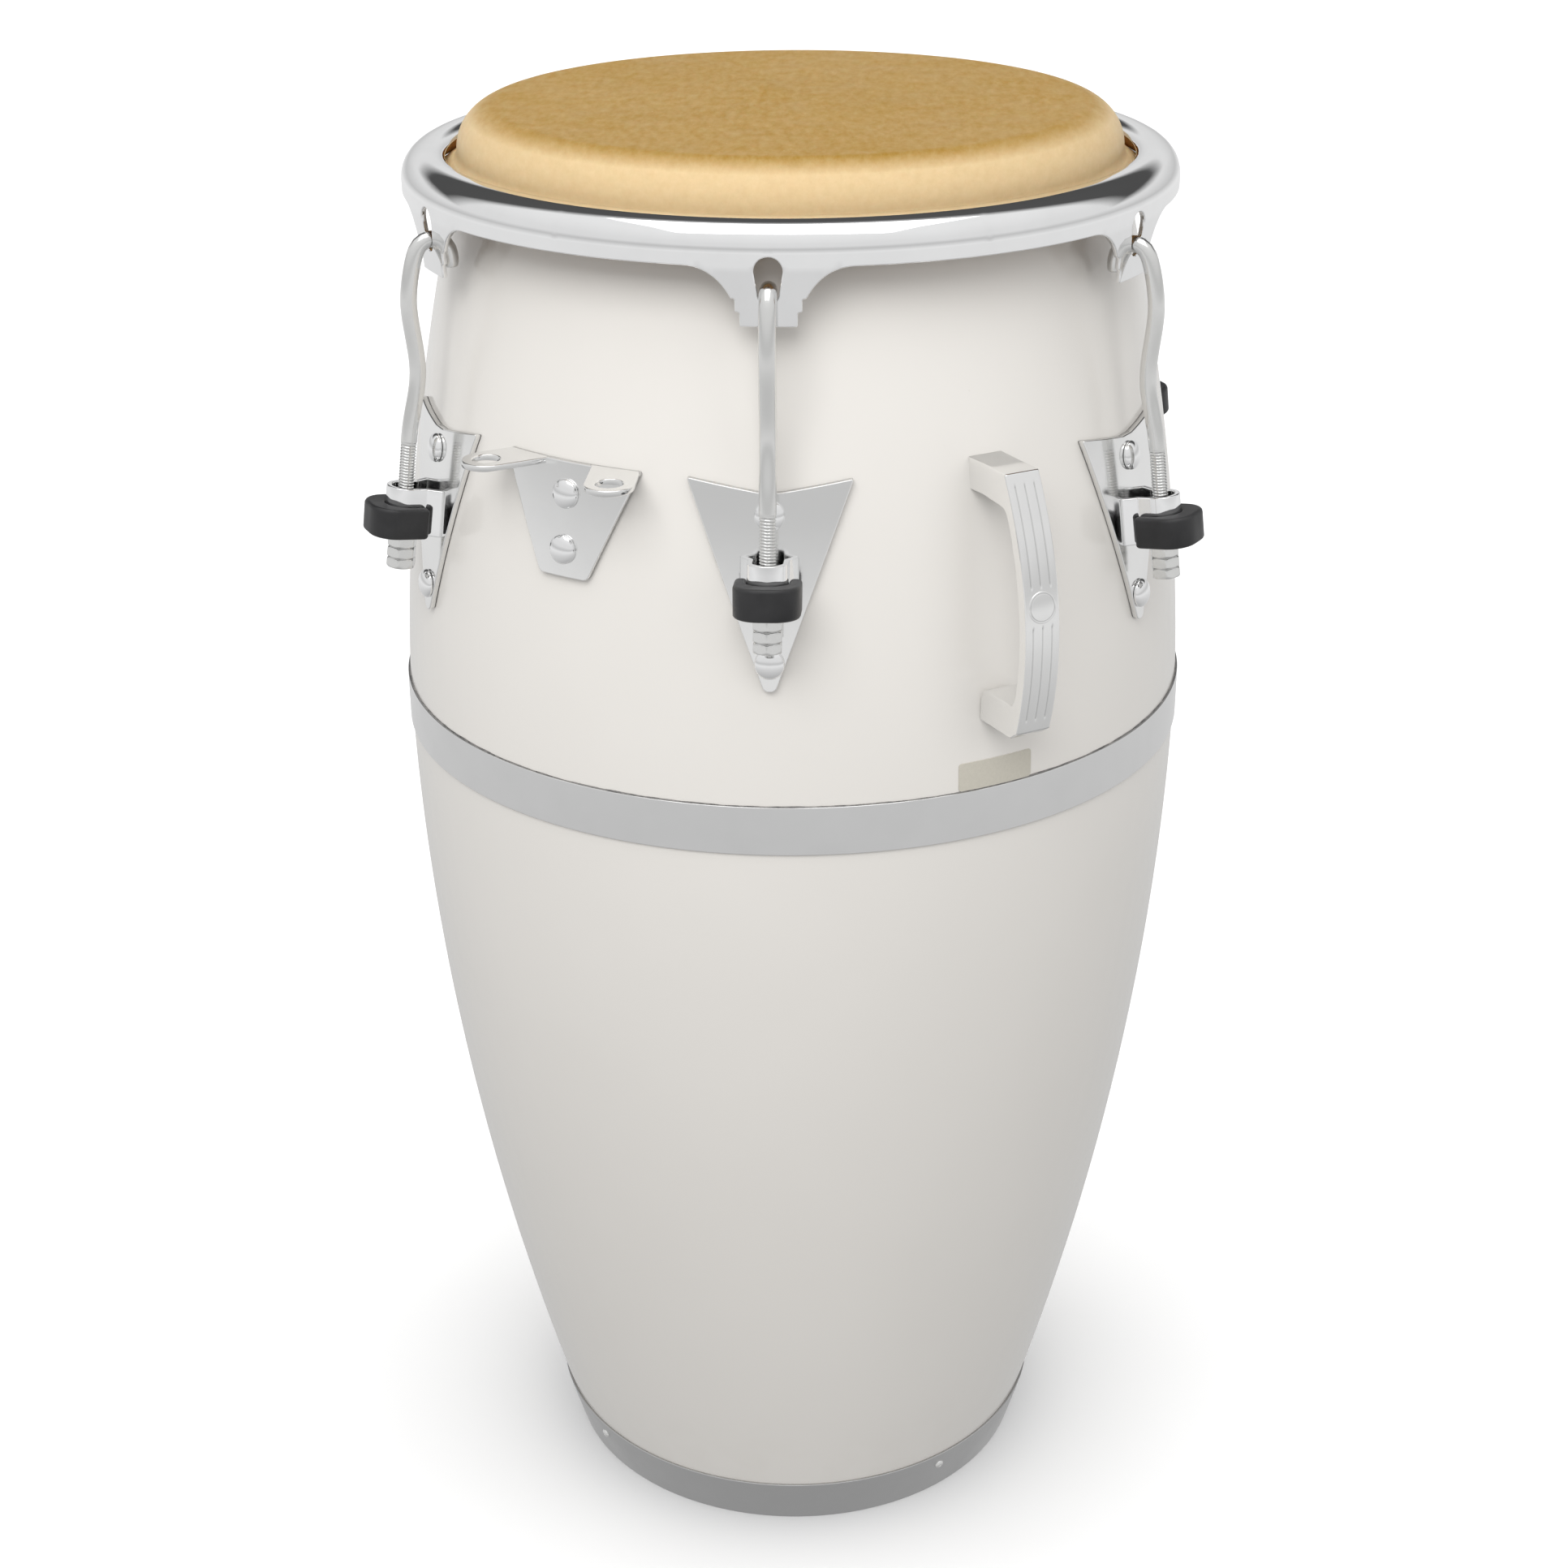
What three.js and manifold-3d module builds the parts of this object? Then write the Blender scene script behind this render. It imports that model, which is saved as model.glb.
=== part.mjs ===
// A six-lug conga drum: a two-part fibreglass shell, a rawhide head held down by a steel rim, and
// the hooked rods, nuts and side plates that tune it. Millimetres, +Z up, the drum's axis on Z,
// the floor at Z = 0, and lug 1 facing -Y. Azimuths are degrees from -Y, positive towards +X.
import * as THREE from 'three';
import { mergeVertices } from 'three/addons/utils/BufferGeometryUtils.js';
import Module from 'manifold-3d';

const wasm = await Module();
wasm.setup();

// Driving sizes. Fittings are placed by their depth below the playing surface.
const DRUM_HEIGHT = 762;
const CLEARANCE = 0.3;
const LUG_COUNT = 6;

const BELLY_RADIUS = 202.2;
const BELLY_DEPTH = 300;
const FOOT_RADIUS = 129;
const HEAD_RADIUS = 161;
const SHELL_WALL = 5;
const EDGE_ROUND = 18.5;
const LOWER_CURVE = 1.87;
const UPPER_CURVE = 1.75;

const SKIN_THICKNESS = 1.7;
const SKIN_FLARE = 4.5;
const HOOP_SECTION = 5;

const RIM_GAP = 5.3;
const RIM_STANDOFF = 19.14;
const RIM_DEPTH = 19.5;
const RIM_SKIRT_DEPTH = 36.5;
const RIM_ROUND = 13;
const RIM_SHEET = 2.6;
const EAR_DEPTH = 65;
const EAR_LEAN = 1.9;
const EAR_FOOT_HALF_WIDTH = 12.9;
const EAR_STEP_HALF_WIDTH = 14.9;
const EAR_NECK_HALF_WIDTH = 16.6;
const EAR_BEND_HALF_WIDTH = 24;
const EAR_ROOT_HALF_WIDTH = 38;
const EAR_STEP_HEIGHT = 6.5;
const EAR_NECK_HEIGHT = 12.5;
const SLOT_HALF_WIDTH = 6.3;
const SLOT_TOP_ABOVE_HOOK = 14.8;
const HOOK_SEAT_CLEARANCE = 1.5;
const HOOK_SIDE_CLEARANCE = 0.6;

const ROD_RADIUS = 4;
const ROD_HOOK_DEPTH = 48.9;
const ROD_HOOK_RADIUS = 8.8;
const ROD_TAIL = 5;
const ROD_STANDOFF = 14.3;
const ROD_BOW = 13;
const ROD_BOW_SHARE = 0.17;
const ROD_WAIST_SHARE = 0.5;
const ROD_WAIST_GAP = 17.38;
const ROD_STRAIGHT_SHARE = 0.75;
const HOOK_TURN = 165;
const ROD_END_DEPTH = 205;

const PLATE_THICKNESS = 3;
const PLATE_DEPTH = 134;
const PLATE_HEIGHT = 96.5;
const PLATE_HALF_WIDTH = 37.5;
const PLATE_TIP_RADIUS = 5;
const PLATE_NOTCH = 5.5;
const PLATE_NOTCH_HALF_WIDTH = 4.5;
const UPPER_BOLT_DEPTH = 150;
const LOWER_BOLT_DEPTH = 217.5;

const COLLAR_DEPTH = 177;
const COLLAR_RADIUS = 9.3;
const COLLAR_SHEET = 2.6;
const COLLAR_HEIGHT = 23;
const COLLAR_FLARE = 3;
const BUMPER_HALF_WIDTH = 15.2;
const BUMPER_REACH = 18.5;
const BUMPER_REAR = 8;
const BUMPER_HEIGHT = 15;
const BUMPER_DROP = 0.5;

const NUT_HALF_FLATS = 6.35;
const NUT_LENGTH = 16;
const NUT_GROOVE = 0.7;
const NUT_SECTIONS = 3;
const NUT_SIDES = 6;
const NUT_BORE_CLEARANCE = 0.5;
const WASHER_RADIUS = 8.2;
const WASHER_THICKNESS = 1.6;

const BOLT_HEAD_RADIUS = 7;
const BOLT_HEAD_HEIGHT = 4.2;
const BOLT_SHANK_RADIUS = 3;
const BOLT_TAIL = 9;
const HOLE_CLEARANCE = 0.6;

const BELLY_BAND_WIDTH = 24.4;
const BELLY_BAND_THICKNESS = 0.8;
const FOOT_BAND_HEIGHT = 28.5;
const FOOT_BAND_THICKNESS = 1;
const FOOT_FLANGE_WIDTH = 8;
const FOOT_FLANGE_THICKNESS = 1.5;
const FOOT_SCREW_COUNT = 4;
const FOOT_SCREW_AZIMUTH = -50.5;
const FOOT_SCREW_HEIGHT = 20;
const FOOT_SCREW_HEAD_RADIUS = 2.7;
const FOOT_SCREW_HEAD_HEIGHT = 1.4;
const FOOT_SCREW_SHANK_RADIUS = 1.3;

const HANDLE_AZIMUTH = 31.2;
const HANDLE_WIDTH = 18;
const HANDLE_DEPTH = 130;
const HANDLE_LENGTH = 123;
const HANDLE_REACH = 42;
const HANDLE_GRIP_THICKNESS = 6.5;
const HANDLE_TOP_FOOT = 15;
const HANDLE_BOTTOM_FOOT = 16;
const HANDLE_BOW = 11.5;
const HANDLE_CHIN = 4;
const HANDLE_SCREW_RADIUS = 2.5;
const HANDLE_SCREW_HEAD_RADIUS = 5;
const HANDLE_SCREW_HEAD_HEIGHT = 2.5;
const HANDLE_SCREW_BITE = 8;

const BRACKET_AZIMUTH = -29.5;
const BRACKET_TOP_HALF_WIDTH = 37.6;
const BRACKET_FOOT_HALF_WIDTH = 13.4;
const BRACKET_HEIGHT = 53;
const BRACKET_CORNER = 3;
const BRACKET_UPPER_BOLT_DEPTH = 149;
const BRACKET_LOWER_BOLT_DEPTH = 174.5;
const EAR_HOLE_RADIUS = 6.25;
const STAND_EAR_HALF_WIDTH = 11.5;
const STAND_EAR_LENGTH = 20.5;
const STAND_EAR_ROOT = 24.8;
const STAND_EAR_SPLAY = 28.5;

const LABEL_WIDTH = 40;
const LABEL_HEIGHT = 14;
const LABEL_THICKNESS = 0.4;
const LABEL_CORNER = 2;

// How finely the round shapes are divided. The count around the drum is a multiple of LUG_COUNT, so
// that each lug sits on the shell's facets in the same way.
const FACETS_AROUND = 48;
const BULGE_PER_ROW = 7;
const SHELL_ROWS = Math.ceil((BELLY_RADIUS - HEAD_RADIUS) / BULGE_PER_ROW);
const SHEET_ROWS = 3;
const ROD_SIDES = 6;
const ROD_STEPS = 30;
const BOLT_SIDES = 8;
const SCREW_SIDES = 8;
const ARC_STEPS = 3;
const OUTLINE_DIVISIONS = 4;
const CUT_MARGIN = 10;
const TRIM_MARGIN = 1;
const HOOP_SIDES = 6;
const EAR_HOLE_SIDES = 12;
const HOOK_BENDS = 5;
const WELD_DISTANCE = 1e-4;

// Values that follow from the sizes above.
const EDGE_Z = DRUM_HEIGHT - SKIN_THICKNESS - CLEARANCE - EDGE_ROUND;
const BELLY_Z = DRUM_HEIGHT - BELLY_DEPTH;
const SKIN_RADIUS = HEAD_RADIUS + CLEARANCE + SKIN_THICKNESS;
const RIM_INNER = SKIN_RADIUS + RIM_GAP;
const HOOK_TOP_Z = DRUM_HEIGHT - ROD_HOOK_DEPTH;
const HOOK_TAIL_Z = HOOK_TOP_Z - ROD_HOOK_RADIUS - ROD_TAIL;
const RIM_OUTER = shellRadius(HOOK_TAIL_Z) + RIM_STANDOFF;
const RIM_TOP_Z = DRUM_HEIGHT - RIM_DEPTH;
const EAR_BOTTOM_Z = DRUM_HEIGHT - EAR_DEPTH;
const SKIRT_Z = DRUM_HEIGHT - RIM_SKIRT_DEPTH;
const PLATE_TOP_Z = DRUM_HEIGHT - PLATE_DEPTH;
const COLLAR_Z = DRUM_HEIGHT - COLLAR_DEPTH;
const DEGREE = Math.PI / 180;

// ---- Small tools ----

function steps(from, to, count) {
  return Array.from({ length: count + 1 }, (_, i) => from + ((to - from) * i) / count);
}

// Points on an arc about (x, y), from one angle to another, in degrees.
function arc(x, y, radius, from, to, count = ARC_STEPS) {
  return steps(from, to, count).map((a) => [
    x + radius * Math.cos(a * DEGREE),
    y + radius * Math.sin(a * DEGREE),
  ]);
}

// The corners of a regular polygon about (x, y).
function polygon(x, y, radius, sides) {
  return arc(x, y, radius, 0, 360, sides).slice(1);
}

function outline(points) {
  return new THREE.Shape(points.map(([x, y]) => new THREE.Vector2(x, y)));
}

// A body of revolution about Z from [radius, height] points that close on themselves or on the axis.
function turned(points, sides = FACETS_AROUND) {
  const loop = points.map(([x, y]) => new THREE.Vector2(x, y));
  const onAxis = points[0][0] === 0;
  if (!onAxis) loop.push(loop[0].clone());
  if (THREE.ShapeUtils.area(loop) < 0) loop.reverse();
  return new THREE.LatheGeometry(loop, sides).rotateX(Math.PI / 2);
}

function solidOf(geometry) {
  const bare = geometry.clone();
  bare.deleteAttribute('normal');
  bare.deleteAttribute('uv');
  const merged = mergeVertices(bare, WELD_DISTANCE);
  const vertProperties = merged.attributes.position.array;
  const triVerts = new Uint32Array(merged.index.array);
  return new wasm.Manifold(new wasm.Mesh({ numProp: 3, vertProperties, triVerts }));
}

function geometryOf(solid) {
  const { vertProperties, triVerts } = solid.getMesh();
  const geometry = new THREE.BufferGeometry();
  geometry.setAttribute('position', new THREE.BufferAttribute(vertProperties, 3));
  geometry.setIndex(new THREE.BufferAttribute(triVerts, 1));
  geometry.computeVertexNormals();
  return geometry;
}

function flat(shape, depth) {
  const settings = { depth, bevelEnabled: false, curveSegments: OUTLINE_DIVISIONS };
  return new THREE.ExtrudeGeometry(shape, settings);
}

// A prism whose outline is drawn in the (tangent, height) plane at the front of the drum. It reaches
// from the drum's inside to well outside the fittings.
function frontPrism(shape, azimuth = 0) {
  const reach = RIM_OUTER + BELLY_RADIUS;
  const prism = flat(shape, reach).rotateX(Math.PI / 2);
  return prism.rotateZ(azimuth * DEGREE);
}

function finish(color, metalness, roughness) {
  return () => new THREE.MeshStandardMaterial({ color, metalness, roughness });
}

const chrome = finish(0xd8dadc, 1, 0.12);
const satinMetal = finish(0xb9bbbd, 1, 0.35);
const brushedSteel = finish(0x8f9194, 1, 0.4);
const whiteGloss = finish(0xe9e6e0, 0, 0.2);
const rawhide = finish(0xd6b06a, 0, 0.5);
const blackRubber = finish(0x1b1b1c, 0, 0.6);
const labelCard = finish(0xd9d6c6, 0, 0.6);

function piece(name, geometry, material) {
  const mesh = new THREE.Mesh(geometry, material());
  mesh.name = name;
  return mesh;
}

// ---- The shell's shape ----

function shellRadius(z) {
  if (z < BELLY_Z) {
    return BELLY_RADIUS - (BELLY_RADIUS - FOOT_RADIUS) * ((BELLY_Z - z) / BELLY_Z) ** LOWER_CURVE;
  }
  const rise = (z - BELLY_Z) / (EDGE_Z - BELLY_Z);
  return BELLY_RADIUS - (BELLY_RADIUS - HEAD_RADIUS) * rise ** UPPER_CURVE;
}

// How far the shell's surface leans in with height, as an angle in radians.
function shellLean(z) {
  const span = 1;
  return Math.atan((shellRadius(z - span) - shellRadius(z + span)) / (2 * span));
}

// The shell's outer line between two heights, moved out by an offset.
function shellLine(from, to, offset, rows) {
  return steps(from, to, rows).map((z) => [shellRadius(z) + offset, z]);
}

// A sheet that follows the shell all the way round.
function shellSheet(bottom, top, offset, thickness, rows = SHEET_ROWS) {
  return turned([
    ...shellLine(bottom, top, offset + thickness, rows),
    ...shellLine(top, bottom, offset, rows),
  ]);
}

// Everything inside the shell's outer surface, used to trim what rests on it.
function shellCore(bottom, top, offset) {
  return turned([[0, bottom], ...shellLine(bottom, top, offset, SHELL_ROWS), [0, top]]);
}

// Places a piece drawn about +Z on the shell's surface, with +Z along the outward normal.
function onShell(azimuth, z, offset = 0) {
  const turn = new THREE.Matrix4().makeRotationZ(azimuth * DEGREE);
  const move = new THREE.Matrix4().makeTranslation(0, -shellRadius(z), z);
  const lean = new THREE.Matrix4().makeRotationX(Math.PI / 2 - shellLean(z));
  const lift = new THREE.Matrix4().makeTranslation(0, 0, offset);
  return turn.multiply(move).multiply(lean).multiply(lift);
}

// ---- Bolts, screws and their holes ----

function bolt(headRadius, headHeight, shankRadius, shankLength, sides) {
  const dome = arc(0, 0, 1, 0, 90).map(([x, y]) => [headRadius * x, headHeight * y]);
  dome[dome.length - 1][0] = 0;
  return turned(
    [[0, -shankLength], [shankRadius, -shankLength], [shankRadius, 0], ...dome],
    sides,
  );
}

function plateBolt(name) {
  const length = PLATE_THICKNESS + 2 * CLEARANCE + SHELL_WALL + BOLT_TAIL;
  const shape = bolt(BOLT_HEAD_RADIUS, BOLT_HEAD_HEIGHT, BOLT_SHANK_RADIUS, length, BOLT_SIDES);
  return piece(name, shape, chrome);
}

const PLATE_BOLT_SEAT = PLATE_THICKNESS + 2 * CLEARANCE;

function drill(shankRadius, azimuth, z) {
  const radius = shankRadius + HOLE_CLEARANCE;
  const length = 2 * (SHELL_WALL + CUT_MARGIN);
  const cutter = new THREE.CylinderGeometry(radius, radius, length, SCREW_SIDES);
  return solidOf(cutter.rotateX(Math.PI / 2).applyMatrix4(onShell(azimuth, z)));
}

function drilled(solid, holes) {
  return holes.reduce((left, [radius, azimuth, z]) => left.subtract(drill(radius, azimuth, z)), solid);
}

const lugAzimuths = Array.from({ length: LUG_COUNT }, (_, i) => (i * 360) / LUG_COUNT);

function lugHoles(azimuth) {
  return [UPPER_BOLT_DEPTH, LOWER_BOLT_DEPTH].map((depth) => [
    BOLT_SHANK_RADIUS,
    azimuth,
    DRUM_HEIGHT - depth,
  ]);
}

const bracketHoles = [BRACKET_UPPER_BOLT_DEPTH, BRACKET_LOWER_BOLT_DEPTH].map((depth) => [
  BOLT_SHANK_RADIUS,
  BRACKET_AZIMUTH,
  DRUM_HEIGHT - depth,
]);

const HANDLE_TOP_Z = DRUM_HEIGHT - HANDLE_DEPTH;
const HANDLE_BOTTOM_Z = HANDLE_TOP_Z - HANDLE_LENGTH;
const handleScrewHeights = {
  upper: HANDLE_TOP_Z - HANDLE_TOP_FOOT / 2,
  lower: HANDLE_BOTTOM_Z + HANDLE_BOTTOM_FOOT / 2,
};
const handleHoles = Object.values(handleScrewHeights).map((z) => [
  HANDLE_SCREW_RADIUS,
  HANDLE_AZIMUTH,
  z,
]);

const footScrewAzimuths = Array.from(
  { length: FOOT_SCREW_COUNT },
  (_, i) => FOOT_SCREW_AZIMUTH + (i * 360) / FOOT_SCREW_COUNT,
);
const footHoles = footScrewAzimuths.map((azimuth) => [
  FOOT_SCREW_SHANK_RADIUS,
  azimuth,
  FOOT_SCREW_HEIGHT,
]);

// ---- Shell, bands and label ----

function upperShell() {
  const bottom = BELLY_Z + CLEARANCE / 2;
  const crownRadius = HEAD_RADIUS - EDGE_ROUND;
  const wall = turned([
    ...shellLine(bottom, EDGE_Z, 0, SHELL_ROWS),
    ...arc(crownRadius, EDGE_Z, EDGE_ROUND, 0, 90).slice(1),
    ...arc(crownRadius, EDGE_Z, EDGE_ROUND - SHELL_WALL, 90, 0),
    ...shellLine(EDGE_Z, bottom, -SHELL_WALL, SHELL_ROWS).slice(1),
  ]);
  const holes = [...lugAzimuths.flatMap(lugHoles), ...bracketHoles, ...handleHoles];
  return piece('upper_shell', geometryOf(drilled(solidOf(wall), holes)), whiteGloss);
}

function lowerShell() {
  const bottom = FOOT_FLANGE_THICKNESS + CLEARANCE;
  const top = BELLY_Z - CLEARANCE / 2;
  const wall = shellSheet(bottom, top, -SHELL_WALL, SHELL_WALL, SHELL_ROWS);
  return piece('lower_shell', geometryOf(drilled(solidOf(wall), footHoles)), whiteGloss);
}

function bellyBand() {
  const bottom = BELLY_Z - BELLY_BAND_WIDTH / 2;
  const top = BELLY_Z + BELLY_BAND_WIDTH / 2;
  const inner = BELLY_RADIUS + CLEARANCE;
  const outer = inner + BELLY_BAND_THICKNESS;
  const band = turned([[inner, bottom], [outer, bottom], [outer, top], [inner, top]]);
  return piece('belly_band', band, chrome);
}

// The foot band wraps the shell's foot and turns in under it.
function footBand() {
  const inner = CLEARANCE;
  const outer = CLEARANCE + FOOT_BAND_THICKNESS;
  const flangeInner = shellRadius(0) - FOOT_FLANGE_WIDTH;
  const shape = turned([
    ...shellLine(0, FOOT_BAND_HEIGHT, outer, 1),
    ...shellLine(FOOT_BAND_HEIGHT, FOOT_FLANGE_THICKNESS, inner, 1),
    [flangeInner, FOOT_FLANGE_THICKNESS],
    [flangeInner, 0],
  ]);
  return piece('foot_band', geometryOf(drilled(solidOf(shape), footHoles)), brushedSteel);
}

function footScrews() {
  const seat = FOOT_BAND_THICKNESS + 2 * CLEARANCE;
  const length = seat + SHELL_WALL + CLEARANCE;
  return footScrewAzimuths.map((azimuth, i) => {
    const shape = bolt(
      FOOT_SCREW_HEAD_RADIUS,
      FOOT_SCREW_HEAD_HEIGHT,
      FOOT_SCREW_SHANK_RADIUS,
      length,
      SCREW_SIDES,
    );
    const screw = piece(`foot_screw_${i + 1}`, shape, brushedSteel);
    screw.applyMatrix4(onShell(azimuth, FOOT_SCREW_HEIGHT, seat));
    return screw;
  });
}

function label() {
  const bottom = BELLY_Z + BELLY_BAND_WIDTH / 2 + CLEARANCE;
  const top = bottom + LABEL_HEIGHT;
  const side = LABEL_WIDTH / 2;
  const shape = outline([
    [-side, bottom],
    [side, bottom],
    ...arc(side - LABEL_CORNER, top - LABEL_CORNER, LABEL_CORNER, 0, 90),
    ...arc(LABEL_CORNER - side, top - LABEL_CORNER, LABEL_CORNER, 90, 180),
  ]);
  const sheet = solidOf(shellSheet(bottom - TRIM_MARGIN, top + TRIM_MARGIN, CLEARANCE, LABEL_THICKNESS, 1));
  const cut = sheet.intersect(solidOf(frontPrism(shape, HANDLE_AZIMUTH)));
  return piece('blank_label', geometryOf(cut), labelCard);
}

// ---- Head, flesh hoop and rim ----

const HOOP_RADIUS = RIM_OUTER - RIM_ROUND;
const HOOP_Z = RIM_TOP_Z - RIM_SHEET - 2 * CLEARANCE - HOOP_SECTION;

function fleshHoop() {
  const ring = turned(polygon(HOOP_RADIUS, HOOP_Z, HOOP_SECTION, HOOP_SIDES));
  return piece('flesh_hoop', ring, brushedSteel);
}

// The skin lies over the bearing edge and flares out towards the flesh hoop, whose path it leaves
// clear.
function headSkin() {
  const crownRadius = HEAD_RADIUS - EDGE_ROUND;
  const under = EDGE_ROUND + CLEARANCE;
  const over = under + SKIN_THICKNESS;
  const skin = turned([
    [0, DRUM_HEIGHT - SKIN_THICKNESS],
    ...arc(crownRadius, EDGE_Z, under, 90, 0),
    [crownRadius + under + SKIN_FLARE, EDGE_Z - SKIN_FLARE],
    [crownRadius + over + SKIN_FLARE, EDGE_Z - SKIN_FLARE],
    ...arc(crownRadius, EDGE_Z, over, 0, 90),
    [0, DRUM_HEIGHT],
  ]);
  return piece('head_skin', skin, rawhide);
}

function earOutline() {
  const stepZ = EAR_BOTTOM_Z + EAR_STEP_HEIGHT;
  const neckZ = EAR_BOTTOM_Z + EAR_NECK_HEIGHT;
  const shape = new THREE.Shape();
  shape.moveTo(-EAR_FOOT_HALF_WIDTH, EAR_BOTTOM_Z - CUT_MARGIN);
  shape.lineTo(EAR_FOOT_HALF_WIDTH, EAR_BOTTOM_Z - CUT_MARGIN);
  shape.lineTo(EAR_FOOT_HALF_WIDTH, stepZ);
  shape.lineTo(EAR_STEP_HALF_WIDTH, stepZ);
  shape.lineTo(EAR_STEP_HALF_WIDTH, neckZ);
  shape.lineTo(EAR_NECK_HALF_WIDTH, neckZ);
  shape.quadraticCurveTo(EAR_BEND_HALF_WIDTH, SKIRT_Z, EAR_ROOT_HALF_WIDTH, SKIRT_Z);
  shape.lineTo(EAR_ROOT_HALF_WIDTH, SKIRT_Z + CUT_MARGIN);
  shape.lineTo(-EAR_ROOT_HALF_WIDTH, SKIRT_Z + CUT_MARGIN);
  shape.lineTo(-EAR_ROOT_HALF_WIDTH, SKIRT_Z);
  shape.quadraticCurveTo(-EAR_BEND_HALF_WIDTH, SKIRT_Z, -EAR_NECK_HALF_WIDTH, neckZ);
  shape.lineTo(-EAR_STEP_HALF_WIDTH, neckZ);
  shape.lineTo(-EAR_STEP_HALF_WIDTH, stepZ);
  shape.lineTo(-EAR_FOOT_HALF_WIDTH, stepZ);
  return shape;
}

// A keyhole: a wide round top for passing the rod's hook through, and a narrow seat for the rod.
function slotOutline() {
  const seatRadius = ROD_RADIUS + HOOK_SIDE_CLEARANCE;
  const seatZ = HOOK_TOP_Z - HOOK_SEAT_CLEARANCE + HOOK_SIDE_CLEARANCE;
  const wideZ = HOOK_TOP_Z + SLOT_TOP_ABOVE_HOOK - SLOT_HALF_WIDTH;
  return outline([...arc(0, seatZ, seatRadius, 180, 360), ...arc(0, wideZ, SLOT_HALF_WIDTH, 0, 180)]);
}

function tensionRim() {
  const skirtInner = RIM_OUTER - RIM_SHEET;
  const cornerR = RIM_OUTER - RIM_ROUND;
  const cornerZ = RIM_TOP_Z - RIM_ROUND;
  const lipZ = RIM_TOP_Z - RIM_SHEET / 2;
  const section = turned([
    [RIM_OUTER - EAR_LEAN, EAR_BOTTOM_Z],
    [RIM_OUTER, SKIRT_Z],
    ...arc(cornerR, cornerZ, RIM_ROUND, 0, 90),
    [RIM_INNER + RIM_SHEET / 2, RIM_TOP_Z],
    [RIM_INNER, lipZ],
    [RIM_INNER + RIM_SHEET / 2, RIM_TOP_Z - RIM_SHEET],
    ...arc(cornerR, cornerZ, RIM_ROUND - RIM_SHEET, 90, 0),
    [skirtInner, SKIRT_Z],
    [skirtInner - EAR_LEAN, EAR_BOTTOM_Z],
  ]);
  const low = EAR_BOTTOM_Z - CUT_MARGIN;
  const waste = turned([
    [skirtInner - CUT_MARGIN, low],
    [RIM_OUTER + CUT_MARGIN, low],
    [RIM_OUTER + CUT_MARGIN, SKIRT_Z],
    [skirtInner - CUT_MARGIN, SKIRT_Z],
  ]);
  const ears = lugAzimuths.map((azimuth) => solidOf(frontPrism(earOutline(), azimuth)));
  const slots = lugAzimuths.map((azimuth) => solidOf(frontPrism(slotOutline(), azimuth)));
  const gaps = ears.reduce((left, ear) => left.subtract(ear), solidOf(waste));
  const rim = slots.reduce((left, slot) => left.subtract(slot), solidOf(section).subtract(gaps));
  return piece('tension_rim', geometryOf(rim), chrome);
}

// ---- Lugs: side plate, collar, rod, washer, nut and bumper ----

const COLLAR_LEAN = shellLean(COLLAR_Z);
const ROD_FOOT_RADIUS = shellRadius(COLLAR_Z) + CLEARANCE + PLATE_THICKNESS + ROD_STANDOFF;

// Places what is drawn about the rod's straight lower end. The origin is at the collar's middle, +Z
// runs up the rod and +Y points at the shell.
const rodFrame = new THREE.Matrix4()
  .makeTranslation(0, -ROD_FOOT_RADIUS, COLLAR_Z)
  .multiply(new THREE.Matrix4().makeRotationX(-COLLAR_LEAN));

function rodFootRadius(z) {
  return ROD_FOOT_RADIUS + (COLLAR_Z - z) * Math.tan(COLLAR_LEAN);
}

// The rod hooks over the ear, bows out past the rim and comes back to run parallel to the shell.
function rodPath() {
  const hookZ = HOOK_TOP_Z - ROD_HOOK_RADIUS;
  const hookR = RIM_OUTER - RIM_SHEET / 2 - EAR_LEAN / 2;
  const collarTopZ = COLLAR_Z + COLLAR_HEIGHT / 2;
  const drop = hookZ - collarTopZ;
  const bowZ = hookZ - drop * ROD_BOW_SHARE;
  const waistZ = hookZ - drop * ROD_WAIST_SHARE;
  const straightZ = hookZ - drop * ROD_STRAIGHT_SHARE;
  const waistR = shellRadius(waistZ) + ROD_WAIST_GAP;
  const endZ = DRUM_HEIGHT - ROD_END_DEPTH;
  const route = [
    [hookR - ROD_HOOK_RADIUS, HOOK_TAIL_Z],
    ...arc(hookR, hookZ, ROD_HOOK_RADIUS, 180, 180 - HOOK_TURN, HOOK_BENDS),
    [hookR + ROD_BOW, bowZ],
    [waistR, waistZ],
    [rodFootRadius(straightZ), straightZ],
    [rodFootRadius(collarTopZ), collarTopZ],
    [rodFootRadius(endZ), endZ],
  ];
  return new THREE.CatmullRomCurve3(route.map(([r, z]) => new THREE.Vector3(0, -r, z)));
}

function tuningRod(name) {
  const section = outline(polygon(0, 0, ROD_RADIUS, ROD_SIDES));
  const settings = { steps: ROD_STEPS, bevelEnabled: false, extrudePath: rodPath() };
  return piece(name, new THREE.ExtrudeGeometry(section, settings), chrome);
}

// The sheet metal that the side plates and the stand bracket are cut from.
function plateSheet(bottom) {
  const low = bottom - TRIM_MARGIN;
  return solidOf(shellSheet(low, PLATE_TOP_Z + TRIM_MARGIN, CLEARANCE, PLATE_THICKNESS));
}

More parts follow.
